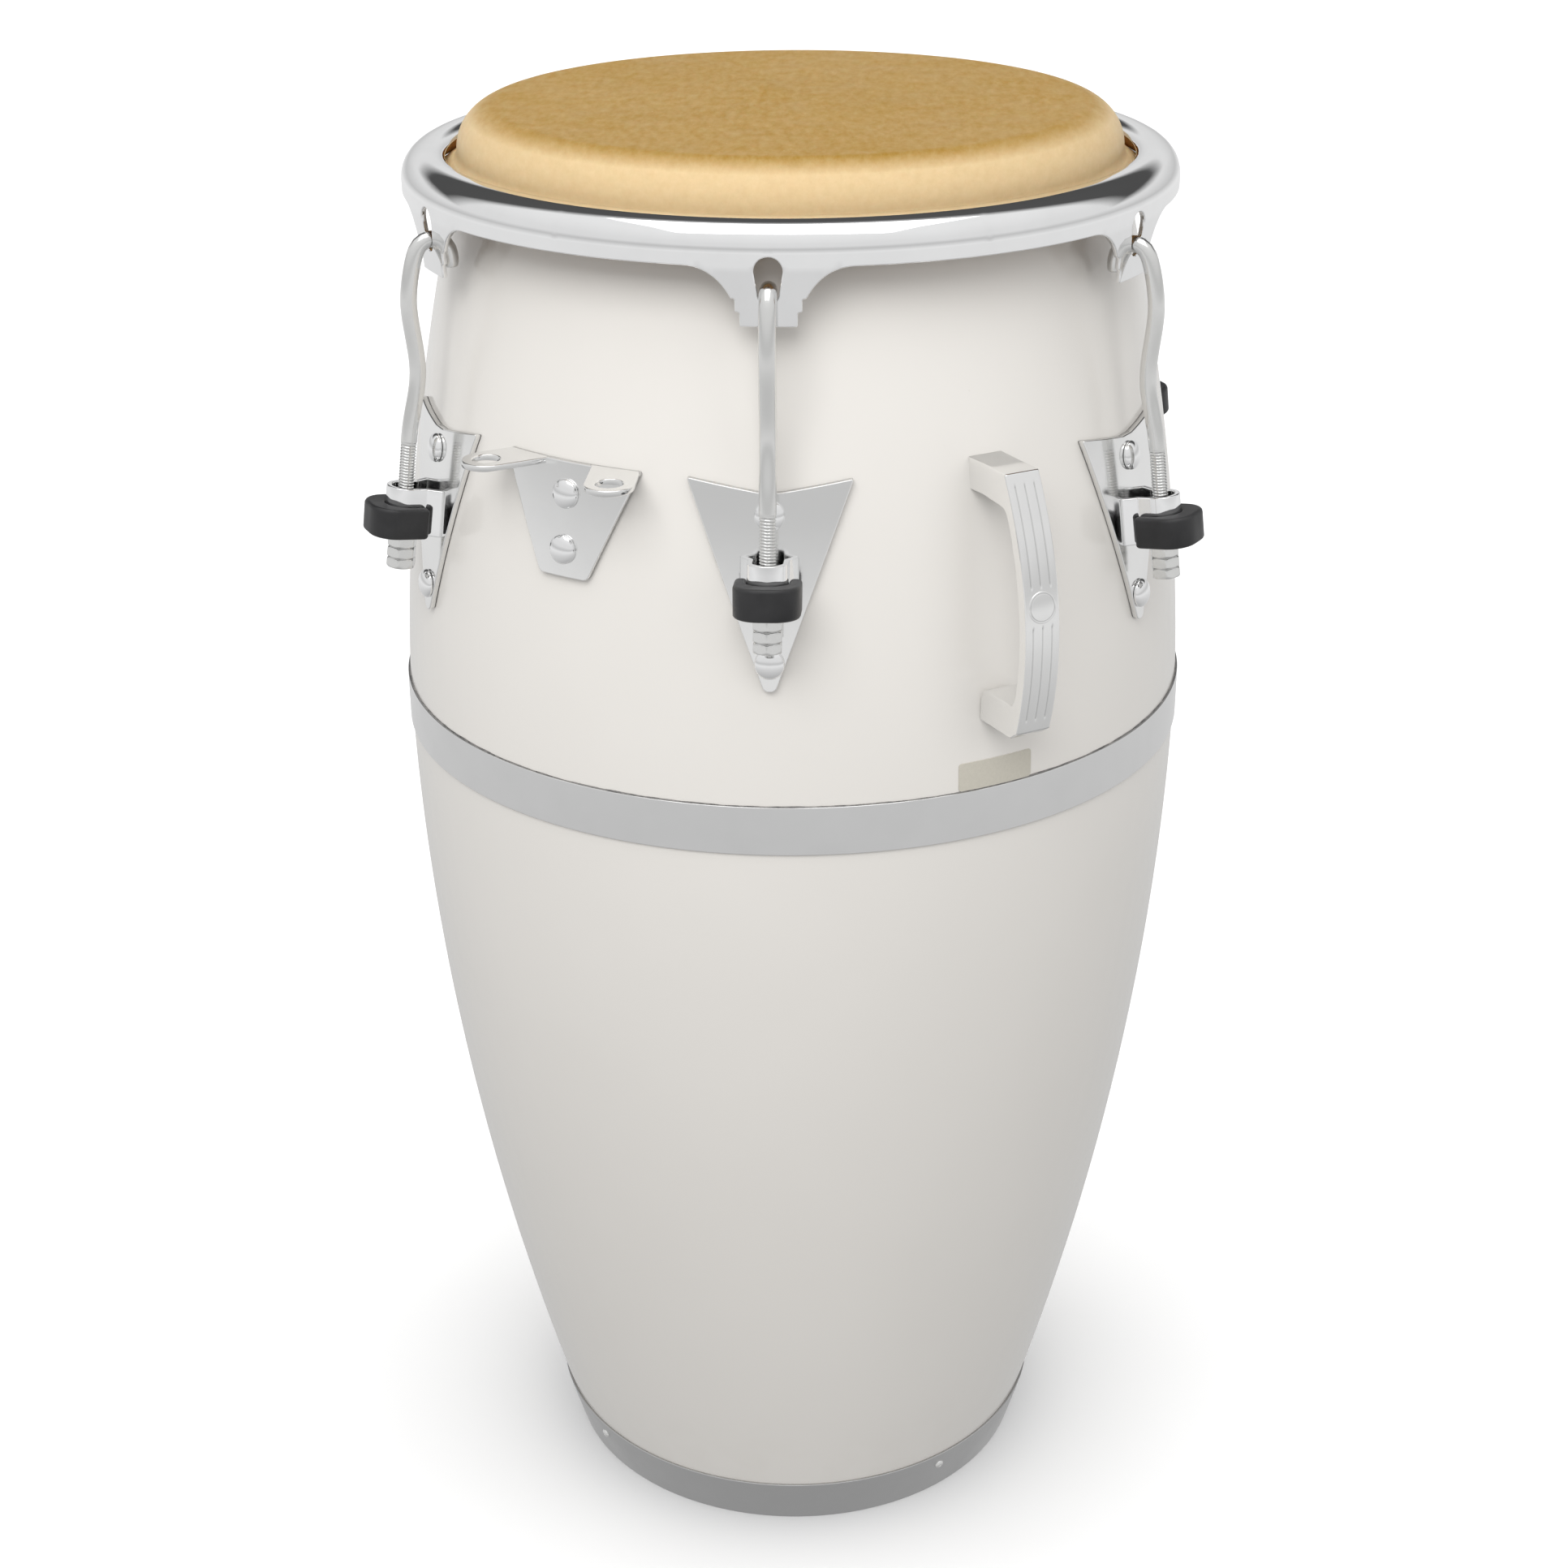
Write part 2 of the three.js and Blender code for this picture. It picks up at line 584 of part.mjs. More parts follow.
function plateOutline() {
  const tipZ = PLATE_TOP_Z - PLATE_HEIGHT + PLATE_TIP_RADIUS;
  const notchZ = PLATE_TOP_Z - PLATE_NOTCH;
  const sideSlope = Math.atan((PLATE_HALF_WIDTH - PLATE_TIP_RADIUS) / (PLATE_TOP_Z - tipZ)) / DEGREE;
  return outline([
    ...arc(0, tipZ, PLATE_TIP_RADIUS, 180 + sideSlope, 360 - sideSlope),
    [PLATE_HALF_WIDTH, PLATE_TOP_Z],
    [PLATE_NOTCH_HALF_WIDTH, notchZ],
    [-PLATE_NOTCH_HALF_WIDTH, notchZ],
    [-PLATE_HALF_WIDTH, PLATE_TOP_Z],
  ]);
}

// A strap bent round the rod, open at the back, whose ends flare out against the plate.
function collarOutline() {
  const inner = COLLAR_RADIUS - COLLAR_SHEET;
  const wide = COLLAR_RADIUS + COLLAR_FLARE;
  const flareStart = ROD_STANDOFF - COLLAR_FLARE - COLLAR_SHEET;
  const flareEnd = ROD_STANDOFF - COLLAR_SHEET / 2;
  const back = ROD_STANDOFF + PLATE_THICKNESS;
  const half = 2 * ARC_STEPS;
  return outline([
    [wide, back],
    [wide, flareEnd],
    [COLLAR_RADIUS, flareStart],
    ...arc(0, 0, COLLAR_RADIUS, 0, -180, half),
    [-COLLAR_RADIUS, flareStart],
    [-wide, flareEnd],
    [-wide, back],
    [-inner, back],
    ...arc(0, 0, inner, 180, 360, half),
    [inner, back],
  ]);
}

function sidePlate(name) {
  const bottom = PLATE_TOP_Z - PLATE_HEIGHT;
  const sheet = plateSheet(bottom);
  const plate = drilled(sheet.intersect(solidOf(frontPrism(plateOutline()))), lugHoles(0));
  const strap = flat(collarOutline(), COLLAR_HEIGHT).translate(0, 0, -COLLAR_HEIGHT / 2);
  const core = shellCore(bottom, PLATE_TOP_Z, CLEARANCE + PLATE_THICKNESS / 2);
  const collar = solidOf(strap.applyMatrix4(rodFrame)).subtract(solidOf(core));
  return piece(name, geometryOf(plate.add(collar)), chrome);
}

// A rubber block that wraps the collar's front and sides.
function rubberBumper(name) {
  const inner = COLLAR_RADIUS + CLEARANCE;
  const corner = BUMPER_HALF_WIDTH - CLEARANCE;
  const cornerY = corner - BUMPER_REACH;
  const half = 2 * ARC_STEPS;
  const shape = outline([
    [-BUMPER_HALF_WIDTH, BUMPER_REAR],
    ...arc(-CLEARANCE, cornerY, corner, 180, 270),
    ...arc(CLEARANCE, cornerY, corner, 270, 360),
    [BUMPER_HALF_WIDTH, BUMPER_REAR],
    [inner, BUMPER_REAR],
    ...arc(0, 0, inner, 0, -180, half),
    [-inner, BUMPER_REAR],
  ]);
  const bottom = -COLLAR_HEIGHT / 2 - BUMPER_DROP;
  const bumper = piece(name, flat(shape, BUMPER_HEIGHT).translate(0, 0, bottom), blackRubber);
  bumper.applyMatrix4(rodFrame);
  return bumper;
}

function nutWasher(name) {
  const bore = ROD_RADIUS + HOLE_CLEARANCE;
  const top = -COLLAR_HEIGHT / 2 - CLEARANCE;
  const bottom = top - WASHER_THICKNESS;
  const ring = turned(
    [[bore, bottom], [WASHER_RADIUS, bottom], [WASHER_RADIUS, top], [bore, top]],
    BOLT_SIDES,
  );
  const washer = piece(name, ring, chrome);
  washer.applyMatrix4(rodFrame);
  return washer;
}

// A tall hexagonal nut, grooved between its sections and rounded at its foot.
function tuningNut(name) {
  const cornerRatio = 1 / Math.cos(Math.PI / NUT_SIDES);
  const corner = NUT_HALF_FLATS * cornerRatio;
  const bore = (ROD_RADIUS + NUT_BORE_CLEARANCE) * cornerRatio;
  const top = -COLLAR_HEIGHT / 2 - WASHER_THICKNESS - 2 * CLEARANCE;
  const bottom = top - NUT_LENGTH;
  const groove = corner - NUT_GROOVE;
  const grooves = Array.from({ length: NUT_SECTIONS - 1 }, (_, i) => {
    const z = bottom + ((i + 1) * NUT_LENGTH) / NUT_SECTIONS;
    return [[corner, z - NUT_GROOVE], [groove, z], [corner, z + NUT_GROOVE]];
  });
  const round = corner - bore;
  const shape = turned(
    [
      [bore, bottom],
      [corner - round / 2, bottom],
      [corner, bottom + round],
      ...grooves.flat(),
      [corner, top],
      [bore, top],
    ],
    NUT_SIDES,
  );
  const nut = piece(name, shape, chrome);
  nut.applyMatrix4(rodFrame);
  return nut;
}

function lug(number, azimuth) {
  const group = new THREE.Group();
  group.rotation.z = azimuth * DEGREE;
  const upperBolt = plateBolt(`upper_bolt_${number}`);
  upperBolt.applyMatrix4(onShell(0, DRUM_HEIGHT - UPPER_BOLT_DEPTH, PLATE_BOLT_SEAT));
  const lowerBolt = plateBolt(`lower_bolt_${number}`);
  lowerBolt.applyMatrix4(onShell(0, DRUM_HEIGHT - LOWER_BOLT_DEPTH, PLATE_BOLT_SEAT));
  group.add(
    sidePlate(`side_plate_${number}`),
    tuningRod(`tuning_rod_${number}`),
    nutWasher(`nut_washer_${number}`),
    tuningNut(`tuning_nut_${number}`),
    rubberBumper(`rubber_bumper_${number}`),
    upperBolt,
    lowerBolt,
  );
  return group;
}

// ---- Handle ----

// The radius of the grip's outer face: it follows the shell and bows out in the middle.
function gripRadius(z) {
  const share = (z - (HANDLE_TOP_Z + HANDLE_BOTTOM_Z) / 2) / (HANDLE_LENGTH / 2);
  return shellRadius(z) + HANDLE_REACH - HANDLE_BOW * share ** 2;
}

// The handle's side view, in [radius, height]: two feet and a grip that bows outwards.
function handleOutline() {
  const inside = shellRadius(HANDLE_TOP_Z) - CUT_MARGIN;
  const chinZ = HANDLE_BOTTOM_Z + HANDLE_CHIN;
  const underTopZ = HANDLE_TOP_Z - HANDLE_TOP_FOOT;
  const overBottomZ = HANDLE_BOTTOM_Z + HANDLE_BOTTOM_FOOT;
  const bends = 2 * OUTLINE_DIVISIONS;
  return outline([
    [inside, HANDLE_BOTTOM_Z],
    [gripRadius(chinZ) - HANDLE_GRIP_THICKNESS, HANDLE_BOTTOM_Z],
    ...steps(chinZ, HANDLE_TOP_Z, bends).map((z) => [gripRadius(z), z]),
    [inside, HANDLE_TOP_Z],
    [inside, underTopZ],
    ...steps(underTopZ, overBottomZ, bends).map((z) => [gripRadius(z) - HANDLE_GRIP_THICKNESS, z]),
    [inside, overBottomZ],
  ]);
}

// The screws come through the shell from inside and end in the handle's feet.
const HANDLE_SCREW_LENGTH = SHELL_WALL + HANDLE_SCREW_BITE;

function carryHandle() {
  const slab = flat(handleOutline(), HANDLE_WIDTH).translate(0, 0, -HANDLE_WIDTH / 2);
  slab.rotateX(Math.PI / 2).rotateZ((HANDLE_AZIMUTH - 90) * DEGREE);
  const core = shellCore(HANDLE_BOTTOM_Z - CUT_MARGIN, HANDLE_TOP_Z + CUT_MARGIN, CLEARANCE);
  const handle = drilled(solidOf(slab).subtract(solidOf(core)), handleHoles);
  return piece('carry_handle', geometryOf(handle), satinMetal);
}

function handleScrews() {
  return Object.entries(handleScrewHeights).map(([place, z]) => {
    const shape = bolt(
      HANDLE_SCREW_HEAD_RADIUS,
      HANDLE_SCREW_HEAD_HEIGHT,
      HANDLE_SCREW_RADIUS,
      HANDLE_SCREW_LENGTH,
      SCREW_SIDES,
    ).rotateX(Math.PI);
    const screw = piece(`handle_screw_${place}`, shape, brushedSteel);
    screw.applyMatrix4(onShell(HANDLE_AZIMUTH, z, -SHELL_WALL - 2 * CLEARANCE));
    return screw;
  });
}

// ---- Stand bracket ----

function bracketOutline() {
  const foot = PLATE_TOP_Z - BRACKET_HEIGHT;
  const side = BRACKET_FOOT_HALF_WIDTH - BRACKET_CORNER;
  return outline([
    ...arc(-side, foot + BRACKET_CORNER, BRACKET_CORNER, 180, 270),
    ...arc(side, foot + BRACKET_CORNER, BRACKET_CORNER, 270, 360),
    [BRACKET_TOP_HALF_WIDTH, PLATE_TOP_Z],
    [-BRACKET_TOP_HALF_WIDTH, PLATE_TOP_Z],
  ]);
}

// An ear that stands out level from the bracket's top, splayed to one side.
function standEar(side) {
  const width = STAND_EAR_HALF_WIDTH;
  const shape = outline([
    ...arc(0, -STAND_EAR_LENGTH, width, 180, 360, 2 * ARC_STEPS),
    [width, width],
    [-width, width],
  ]);
  const hole = polygon(0, -STAND_EAR_LENGTH, EAR_HOLE_RADIUS, EAR_HOLE_SIDES);
  shape.holes.push(new THREE.Path(hole.map(([x, y]) => new THREE.Vector2(x, y))));
  const ear = flat(shape, PLATE_THICKNESS).rotateZ(side * STAND_EAR_SPLAY * DEGREE);
  const root = shellRadius(PLATE_TOP_Z) + PLATE_THICKNESS;
  const rootY = -Math.sqrt(root ** 2 - STAND_EAR_ROOT ** 2);
  ear.translate(side * STAND_EAR_ROOT, rootY, PLATE_TOP_Z - PLATE_THICKNESS);
  return solidOf(ear.rotateZ(BRACKET_AZIMUTH * DEGREE));
}

function standBracket() {
  const foot = PLATE_TOP_Z - BRACKET_HEIGHT;
  const sheet = plateSheet(foot);
  const prism = solidOf(frontPrism(bracketOutline(), BRACKET_AZIMUTH));
  const plate = drilled(sheet.intersect(prism), bracketHoles);
  const core = solidOf(shellCore(foot, PLATE_TOP_Z + TRIM_MARGIN, CLEARANCE + PLATE_THICKNESS / 2));
  const ears = standEar(-1).add(standEar(1)).subtract(core);
  return piece('stand_bracket', geometryOf(plate.add(ears)), chrome);
}

function bracketBolts() {
  const heights = { upper: BRACKET_UPPER_BOLT_DEPTH, lower: BRACKET_LOWER_BOLT_DEPTH };
  return Object.entries(heights).map(([place, depth]) => {
    const mesh = plateBolt(`bracket_bolt_${place}`);
    mesh.applyMatrix4(onShell(BRACKET_AZIMUTH, DRUM_HEIGHT - depth, PLATE_BOLT_SEAT));
    return mesh;
  });
}

// ---- The whole drum ----

const drum = new THREE.Group();
drum.add(
  lowerShell(),
  upperShell(),
  bellyBand(),
  footBand(),
  ...footScrews(),
  label(),
  headSkin(),
  fleshHoop(),
  tensionRim(),
  ...lugAzimuths.map((azimuth, i) => lug(i + 1, azimuth)),
  carryHandle(),
  ...handleScrews(),
  standBracket(),
  ...bracketBolts(),
);

export default drum;
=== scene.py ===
"""A six-lug conga drum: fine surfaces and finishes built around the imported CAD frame.

Lengths are in millimetres and turned into metres where a mesh is made. The drum's axis is on Z, the
floor is at Z = 0 and lug 1 faces -Y. Azimuths are degrees from -Y, positive towards +X.
"""

import math

import bmesh
import bpy
import numpy as np
from mathutils import Matrix, Vector
from mathutils.geometry import delaunay_2d_cdt


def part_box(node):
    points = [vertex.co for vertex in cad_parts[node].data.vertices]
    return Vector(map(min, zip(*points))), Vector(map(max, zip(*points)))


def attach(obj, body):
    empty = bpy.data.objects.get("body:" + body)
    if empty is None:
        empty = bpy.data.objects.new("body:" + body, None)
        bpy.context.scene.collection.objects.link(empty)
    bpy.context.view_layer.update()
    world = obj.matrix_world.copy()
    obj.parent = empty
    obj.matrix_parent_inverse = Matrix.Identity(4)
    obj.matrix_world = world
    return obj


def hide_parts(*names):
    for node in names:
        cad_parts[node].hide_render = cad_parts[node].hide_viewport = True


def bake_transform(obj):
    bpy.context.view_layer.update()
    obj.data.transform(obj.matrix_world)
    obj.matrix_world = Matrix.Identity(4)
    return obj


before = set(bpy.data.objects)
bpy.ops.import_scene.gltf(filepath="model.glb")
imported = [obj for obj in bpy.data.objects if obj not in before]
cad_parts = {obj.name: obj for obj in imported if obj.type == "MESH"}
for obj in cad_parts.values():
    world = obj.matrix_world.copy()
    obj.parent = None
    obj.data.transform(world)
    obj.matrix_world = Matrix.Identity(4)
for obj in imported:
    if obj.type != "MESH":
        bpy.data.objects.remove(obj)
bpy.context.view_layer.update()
MM = 0.001
RNG = np.random.default_rng(12)

# ---- Driving sizes, as in the CAD part ----

DRUM_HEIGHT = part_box("head_skin")[1][2] / MM
BELLY_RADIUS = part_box("upper_shell")[1][0] / MM
CLEARANCE = 0.3
LUG_COUNT = 6
BELLY_Z = DRUM_HEIGHT - 300
FOOT_RADIUS = 129
HEAD_RADIUS = 161
SHELL_WALL = 5
EDGE_ROUND = 18.5
LOWER_CURVE = 1.87
UPPER_CURVE = 1.75

SKIN_THICKNESS = 1.7
HOOP_SECTION = 5

RIM_GAP = 5.3
RIM_WIDTH = 22.1
RIM_DEPTH = 19.5
RIM_SKIRT_DEPTH = 36.5
RIM_ROUND = 13
RIM_SHEET = 2.6
RIM_LIP_ROUND = 5.5
EAR_DEPTH = 65
EAR_LEAN = 1.9
EAR_FOOT, EAR_STEP, EAR_NECK, EAR_BEND, EAR_ROOT = 12.9, 14.9, 16.6, 24, 38
EAR_STEP_HEIGHT = 6.5
EAR_NECK_HEIGHT = 12.5
SLOT_HALF_WIDTH = 6.3
SLOT_TOP_ABOVE_HOOK = 14.8

ROD_RADIUS = 4
ROD_HOOK_DEPTH = 48.9
ROD_HOOK_RADIUS = 8.8
ROD_TAIL = 5
ROD_STANDOFF = 14.3
ROD_BOW = 13
ROD_BOW_SHARE, ROD_WAIST_SHARE, ROD_STRAIGHT_SHARE = 0.17, 0.5, 0.75
ROD_END_DEPTH = 205
THREAD_TOP_DEPTH = 144
THREAD_PITCH = 25.4 / 18
THREAD_DEPTH = 0.75

PLATE_THICKNESS = 3
PLATE_DEPTH = 134
PLATE_HEIGHT = 96.5
PLATE_HALF_WIDTH = 37.5
PLATE_NOTCH = 5.5
PLATE_NOTCH_HALF_WIDTH = 4.5
UPPER_BOLT_DEPTH, LOWER_BOLT_DEPTH = 150, 217.5

COLLAR_DEPTH = 177
COLLAR_RADIUS = 9.3
COLLAR_SHEET = 2.6
COLLAR_HEIGHT = 23
COLLAR_FLARE = 3
BUMPER_HALF_WIDTH = 15.2
BUMPER_REACH = 18.5
BUMPER_REAR = 8
BUMPER_HEIGHT = 15
BUMPER_DROP = 0.5
NUT_HALF_FLATS = 6.35
NUT_LENGTH = 16
NUT_SECTIONS = 3
WASHER_RADIUS = 8.2
WASHER_THICKNESS = 1.6
BOLT_HEAD_RADIUS, BOLT_HEAD_HEIGHT = 7, 4.2
BOLT_SHANK_RADIUS, BOLT_TAIL = 3, 9

BELLY_BAND_WIDTH, BELLY_BAND_THICKNESS = 24.4, 0.8
FOOT_BAND_HEIGHT, FOOT_BAND_THICKNESS = 28.5, 1
FOOT_FLANGE_WIDTH, FOOT_FLANGE_THICKNESS = 8, 1.5
FOOT_SCREW_AZIMUTH, FOOT_SCREW_HEIGHT = -50.5, 20

HANDLE_AZIMUTH = 31.2
HANDLE_WIDTH = 18
HANDLE_DEPTH = 130
HANDLE_LENGTH = 123
HANDLE_REACH = 42
HANDLE_GRIP_THICKNESS = 6.5
HANDLE_TOP_FOOT, HANDLE_BOTTOM_FOOT = 15, 16
HANDLE_BOW = 11.5
HANDLE_CHIN = 4

BRACKET_AZIMUTH = -29.5
BRACKET_TOP_HALF_WIDTH, BRACKET_FOOT_HALF_WIDTH = 37.6, 13.4
BRACKET_HEIGHT = 53
BRACKET_BOLT_DEPTHS = (149, 174.5)
STAND_EAR_HALF_WIDTH = 11.5
STAND_EAR_LENGTH = 20.5
STAND_EAR_ROOT = 24.8
STAND_EAR_SPLAY = 28.5
EAR_HOLE_RADIUS = 6.25

LABEL_WIDTH, LABEL_HEIGHT = 40, 14

EDGE_Z = DRUM_HEIGHT - SKIN_THICKNESS - CLEARANCE - EDGE_ROUND
SKIN_RADIUS = HEAD_RADIUS + CLEARANCE + SKIN_THICKNESS
RIM_INNER = SKIN_RADIUS + RIM_GAP
RIM_OUTER = RIM_INNER + RIM_WIDTH
RIM_TOP_Z = DRUM_HEIGHT - RIM_DEPTH
EAR_BOTTOM_Z = DRUM_HEIGHT - EAR_DEPTH
SKIRT_Z = DRUM_HEIGHT - RIM_SKIRT_DEPTH
HOOP_RADIUS = RIM_OUTER - RIM_ROUND
HOOP_Z = RIM_TOP_Z - RIM_SHEET - 2 * CLEARANCE - HOOP_SECTION
PLATE_TOP_Z = DRUM_HEIGHT - PLATE_DEPTH
COLLAR_Z = DRUM_HEIGHT - COLLAR_DEPTH
HANDLE_TOP_Z = DRUM_HEIGHT - HANDLE_DEPTH
HANDLE_BOTTOM_Z = HANDLE_TOP_Z - HANDLE_LENGTH
BOLT_SEAT = PLATE_THICKNESS + CLEARANCE
TURNS = [360 * k / LUG_COUNT for k in range(LUG_COUNT)]
SEGMENTS = 288
FULL_PHASE = 6.3


def shell_radius(z):
    z = np.asarray(z, float)
    drop = np.clip((BELLY_Z - z) / BELLY_Z, 0, None)
    rise = np.clip((z - BELLY_Z) / (EDGE_Z - BELLY_Z), 0, None)
    lower = BELLY_RADIUS - (BELLY_RADIUS - FOOT_RADIUS) * drop**LOWER_CURVE
    upper = BELLY_RADIUS - (BELLY_RADIUS - HEAD_RADIUS) * rise**UPPER_CURVE
    return np.where(z < BELLY_Z, lower, upper)


def shell_lean(z):
    return math.atan(float(shell_radius(z - 1) - shell_radius(z + 1)) / 2)


# ---- Places ----


def turned_by(azimuth):
    return Matrix.Rotation(math.radians(azimuth), 4, "Z")


def on_shell(azimuth, z, offset=0):
    """The place on the shell's surface where +Z is its outward normal and +Y runs up it."""
    foot = Matrix.Translation((0, -float(shell_radius(z)), z))
    lean = Matrix.Rotation(math.pi / 2 - shell_lean(z), 4, "X")
    return turned_by(azimuth) @ foot @ lean @ Matrix.Translation((0, 0, offset))


def around(count):
    return np.linspace(0, 2 * math.pi, count, endpoint=False)


def circle(radius, angles, z):
    """Points about the drum's axis, from -Y towards +X."""
    return np.stack([radius * np.sin(angles), -radius * np.cos(angles), z + 0 * angles], -1)


COLLAR_LEAN = shell_lean(COLLAR_Z)
ROD_FOOT_RADIUS = float(shell_radius(COLLAR_Z)) + CLEARANCE + PLATE_THICKNESS + ROD_STANDOFF
ROD_FOOT = Matrix.Translation((0, -ROD_FOOT_RADIUS, COLLAR_Z))
ROD_FRAME = ROD_FOOT @ Matrix.Rotation(-COLLAR_LEAN, 4, "X")


# ---- Mesh tools. A shape is (points, faces) or (points, faces, normals) ----


def moved(shape, matrix):
    rotation = np.array(matrix.to_3x3())
    shift = np.array(matrix.translation)
    out = [shape[0] @ rotation.T + shift, shape[1]]
    if len(shape) > 2:
        out.append(shape[2] @ rotation.T)
    return tuple(out)


def joined(*shapes):
    points, faces, start = [], [], 0
    for shape in shapes:
        points.append(shape[0])
        faces += [tuple(start + i for i in face) for face in shape[1]]
        start += len(shape[0])
    return np.concatenate(points), faces


def outward(points, faces):
    """Turns all faces over if they look inwards."""
    volume = 0.0
    for face in faces:
        a = points[face[0]]
        for i in range(1, len(face) - 1):
            volume += np.dot(a, np.cross(points[face[i]], points[face[i + 1]]))
    return faces if volume > 0 else [tuple(reversed(face)) for face in faces]


def loft(rings, close=False, caps=True):
    """A surface through rings of points, each ring closed on itself."""
    rings = np.asarray(rings, float)
    rows, count = rings.shape[:2]
    points = rings.reshape(-1, 3)
    faces = []
    for j in range(rows if close else rows - 1):
        low, high = j * count, ((j + 1) % rows) * count
        for i in range(count):
            n = (i + 1) % count
            faces.append((low + i, low + n, high + n, high + i))
    if caps and not close:
        faces.append(tuple(range(count - 1, -1, -1)))
        faces.append(tuple((rows - 1) * count + i for i in range(count)))
    return points, outward(points, faces)


def turned(profile, segments=SEGMENTS, close=True):
    """A body of revolution about Z from (radius, height) points."""
    rings = [circle(r, around(segments), z) for r, z in profile]
    return loft(rings, close=close, caps=False)


def arc(x, y, radius, start, end, count=8):
    a = np.radians(np.linspace(start, end, count + 1))
    return list(zip(x + radius * np.cos(a), y + radius * np.sin(a)))


def rounded(corners, radius, count=4, closed=True):
    """A polygon with its corners cut round."""
    radii = [c[2] if radius is None else radius for c in corners]
    corners = [np.array(c[:2], float) for c in corners]
    points = []
    total = len(corners)
    for i, corner in enumerate(corners):
        if not closed and i in (0, total - 1):
            points.append(tuple(corner))
            continue
        r = radii[i]
        before, after = corners[i - 1] - corner, corners[(i + 1) % total] - corner
        length_in, length_out = np.linalg.norm(before), np.linalg.norm(after)
        before, after = before / length_in, after / length_out
        half = math.acos(np.clip(np.dot(before, after), -1, 1)) / 2
        if r <= 0 or half > math.pi / 2 - 0.02:
            points.append(tuple(corner))
            continue
        trim = min(r / math.tan(half), 0.45 * length_in, 0.45 * length_out)
        r = trim * math.tan(half)
        middle = corner + (before + after) / np.linalg.norm(before + after) * r / math.sin(half)
        first, last = corner + before * trim - middle, corner + after * trim - middle
        start = math.atan2(first[1], first[0])
        sweep = math.atan2(last[1], last[0]) - start
        sweep = (sweep + math.pi) % (2 * math.pi) - math.pi
        for k in range(count + 1):
            angle = start + sweep * k / count
            points.append((middle[0] + r * math.cos(angle), middle[1] + r * math.sin(angle)))
    return points


def divided(loop, spacing, closed=True):
    """The same outline with no step longer than the spacing."""
    loop = [np.array(p, float) for p in loop]
    out = []
    pairs = zip(loop, loop[1:] + loop[:1]) if closed else zip(loop[:-1], loop[1:])
    for a, b in pairs:
        steps = max(1, int(math.ceil(np.linalg.norm(b - a) / spacing)))
        out += [a + (b - a) * k / steps for k in range(steps)]
    if not closed:
        out.append(loop[-1])
    return np.array(out)


def signed_area(loop):
    x, y = loop[:, 0], loop[:, 1]
    return float(np.sum(x * np.roll(y, -1) - np.roll(x, -1) * y)) / 2


def inset(loop, amounts):
    """Moves each edge of a loop to its left by its own amount, and mitres the corners."""
    edge = np.roll(loop, -1, axis=0) - loop
    edge /= np.linalg.norm(edge, axis=1)[:, None]
    left = np.stack([-edge[:, 1], edge[:, 0]], -1)
    before, after = np.roll(left, 1, axis=0), left
    d0, d1 = np.roll(amounts, 1), np.asarray(amounts, float)
    cross = before[:, 0] * after[:, 1] - before[:, 1] * after[:, 0]
    flat = np.abs(cross) < 0.05
    safe = np.where(flat, 1, cross)
    x = (d0 * after[:, 1] - d1 * before[:, 1]) / safe
    y = (before[:, 0] * d1 - after[:, 0] * d0) / safe
    average = before * (d0 / 2)[:, None] + after * (d1 / 2)[:, None]
    shift = np.where(flat[:, None], average, np.stack([x, y], -1))
    length = np.linalg.norm(shift, axis=1)
    limit = 2.5 * np.maximum(np.maximum(d0, d1), 1e-9)
    shift *= np.minimum(1, limit / np.maximum(length, 1e-9))[:, None]
    return loop + shift


def inside(points, loop):
    x, y = points[:, 0][:, None], points[:, 1][:, None]
    ax, ay = loop[:, 0][None], loop[:, 1][None]
    bx, by = np.roll(ax, -1), np.roll(ay, -1)
    crosses = (ay > y) != (by > y)
    slope = np.where(by == ay, 1, by - ay)
    return (crosses & (x < ax + (bx - ax) * (y - ay) / slope)).sum(1) % 2 == 1


def distance_to(points, loop):
    a, b = loop, np.roll(loop, -1, axis=0)
    edge = b - a
    t = np.einsum("pij,ij->pi", points[:, None] - a[None], edge) / np.sum(edge * edge, 1)
    near = a[None] + np.clip(t, 0, 1)[..., None] * edge[None]
    return np.linalg.norm(points[:, None] - near, axis=2).min(1)


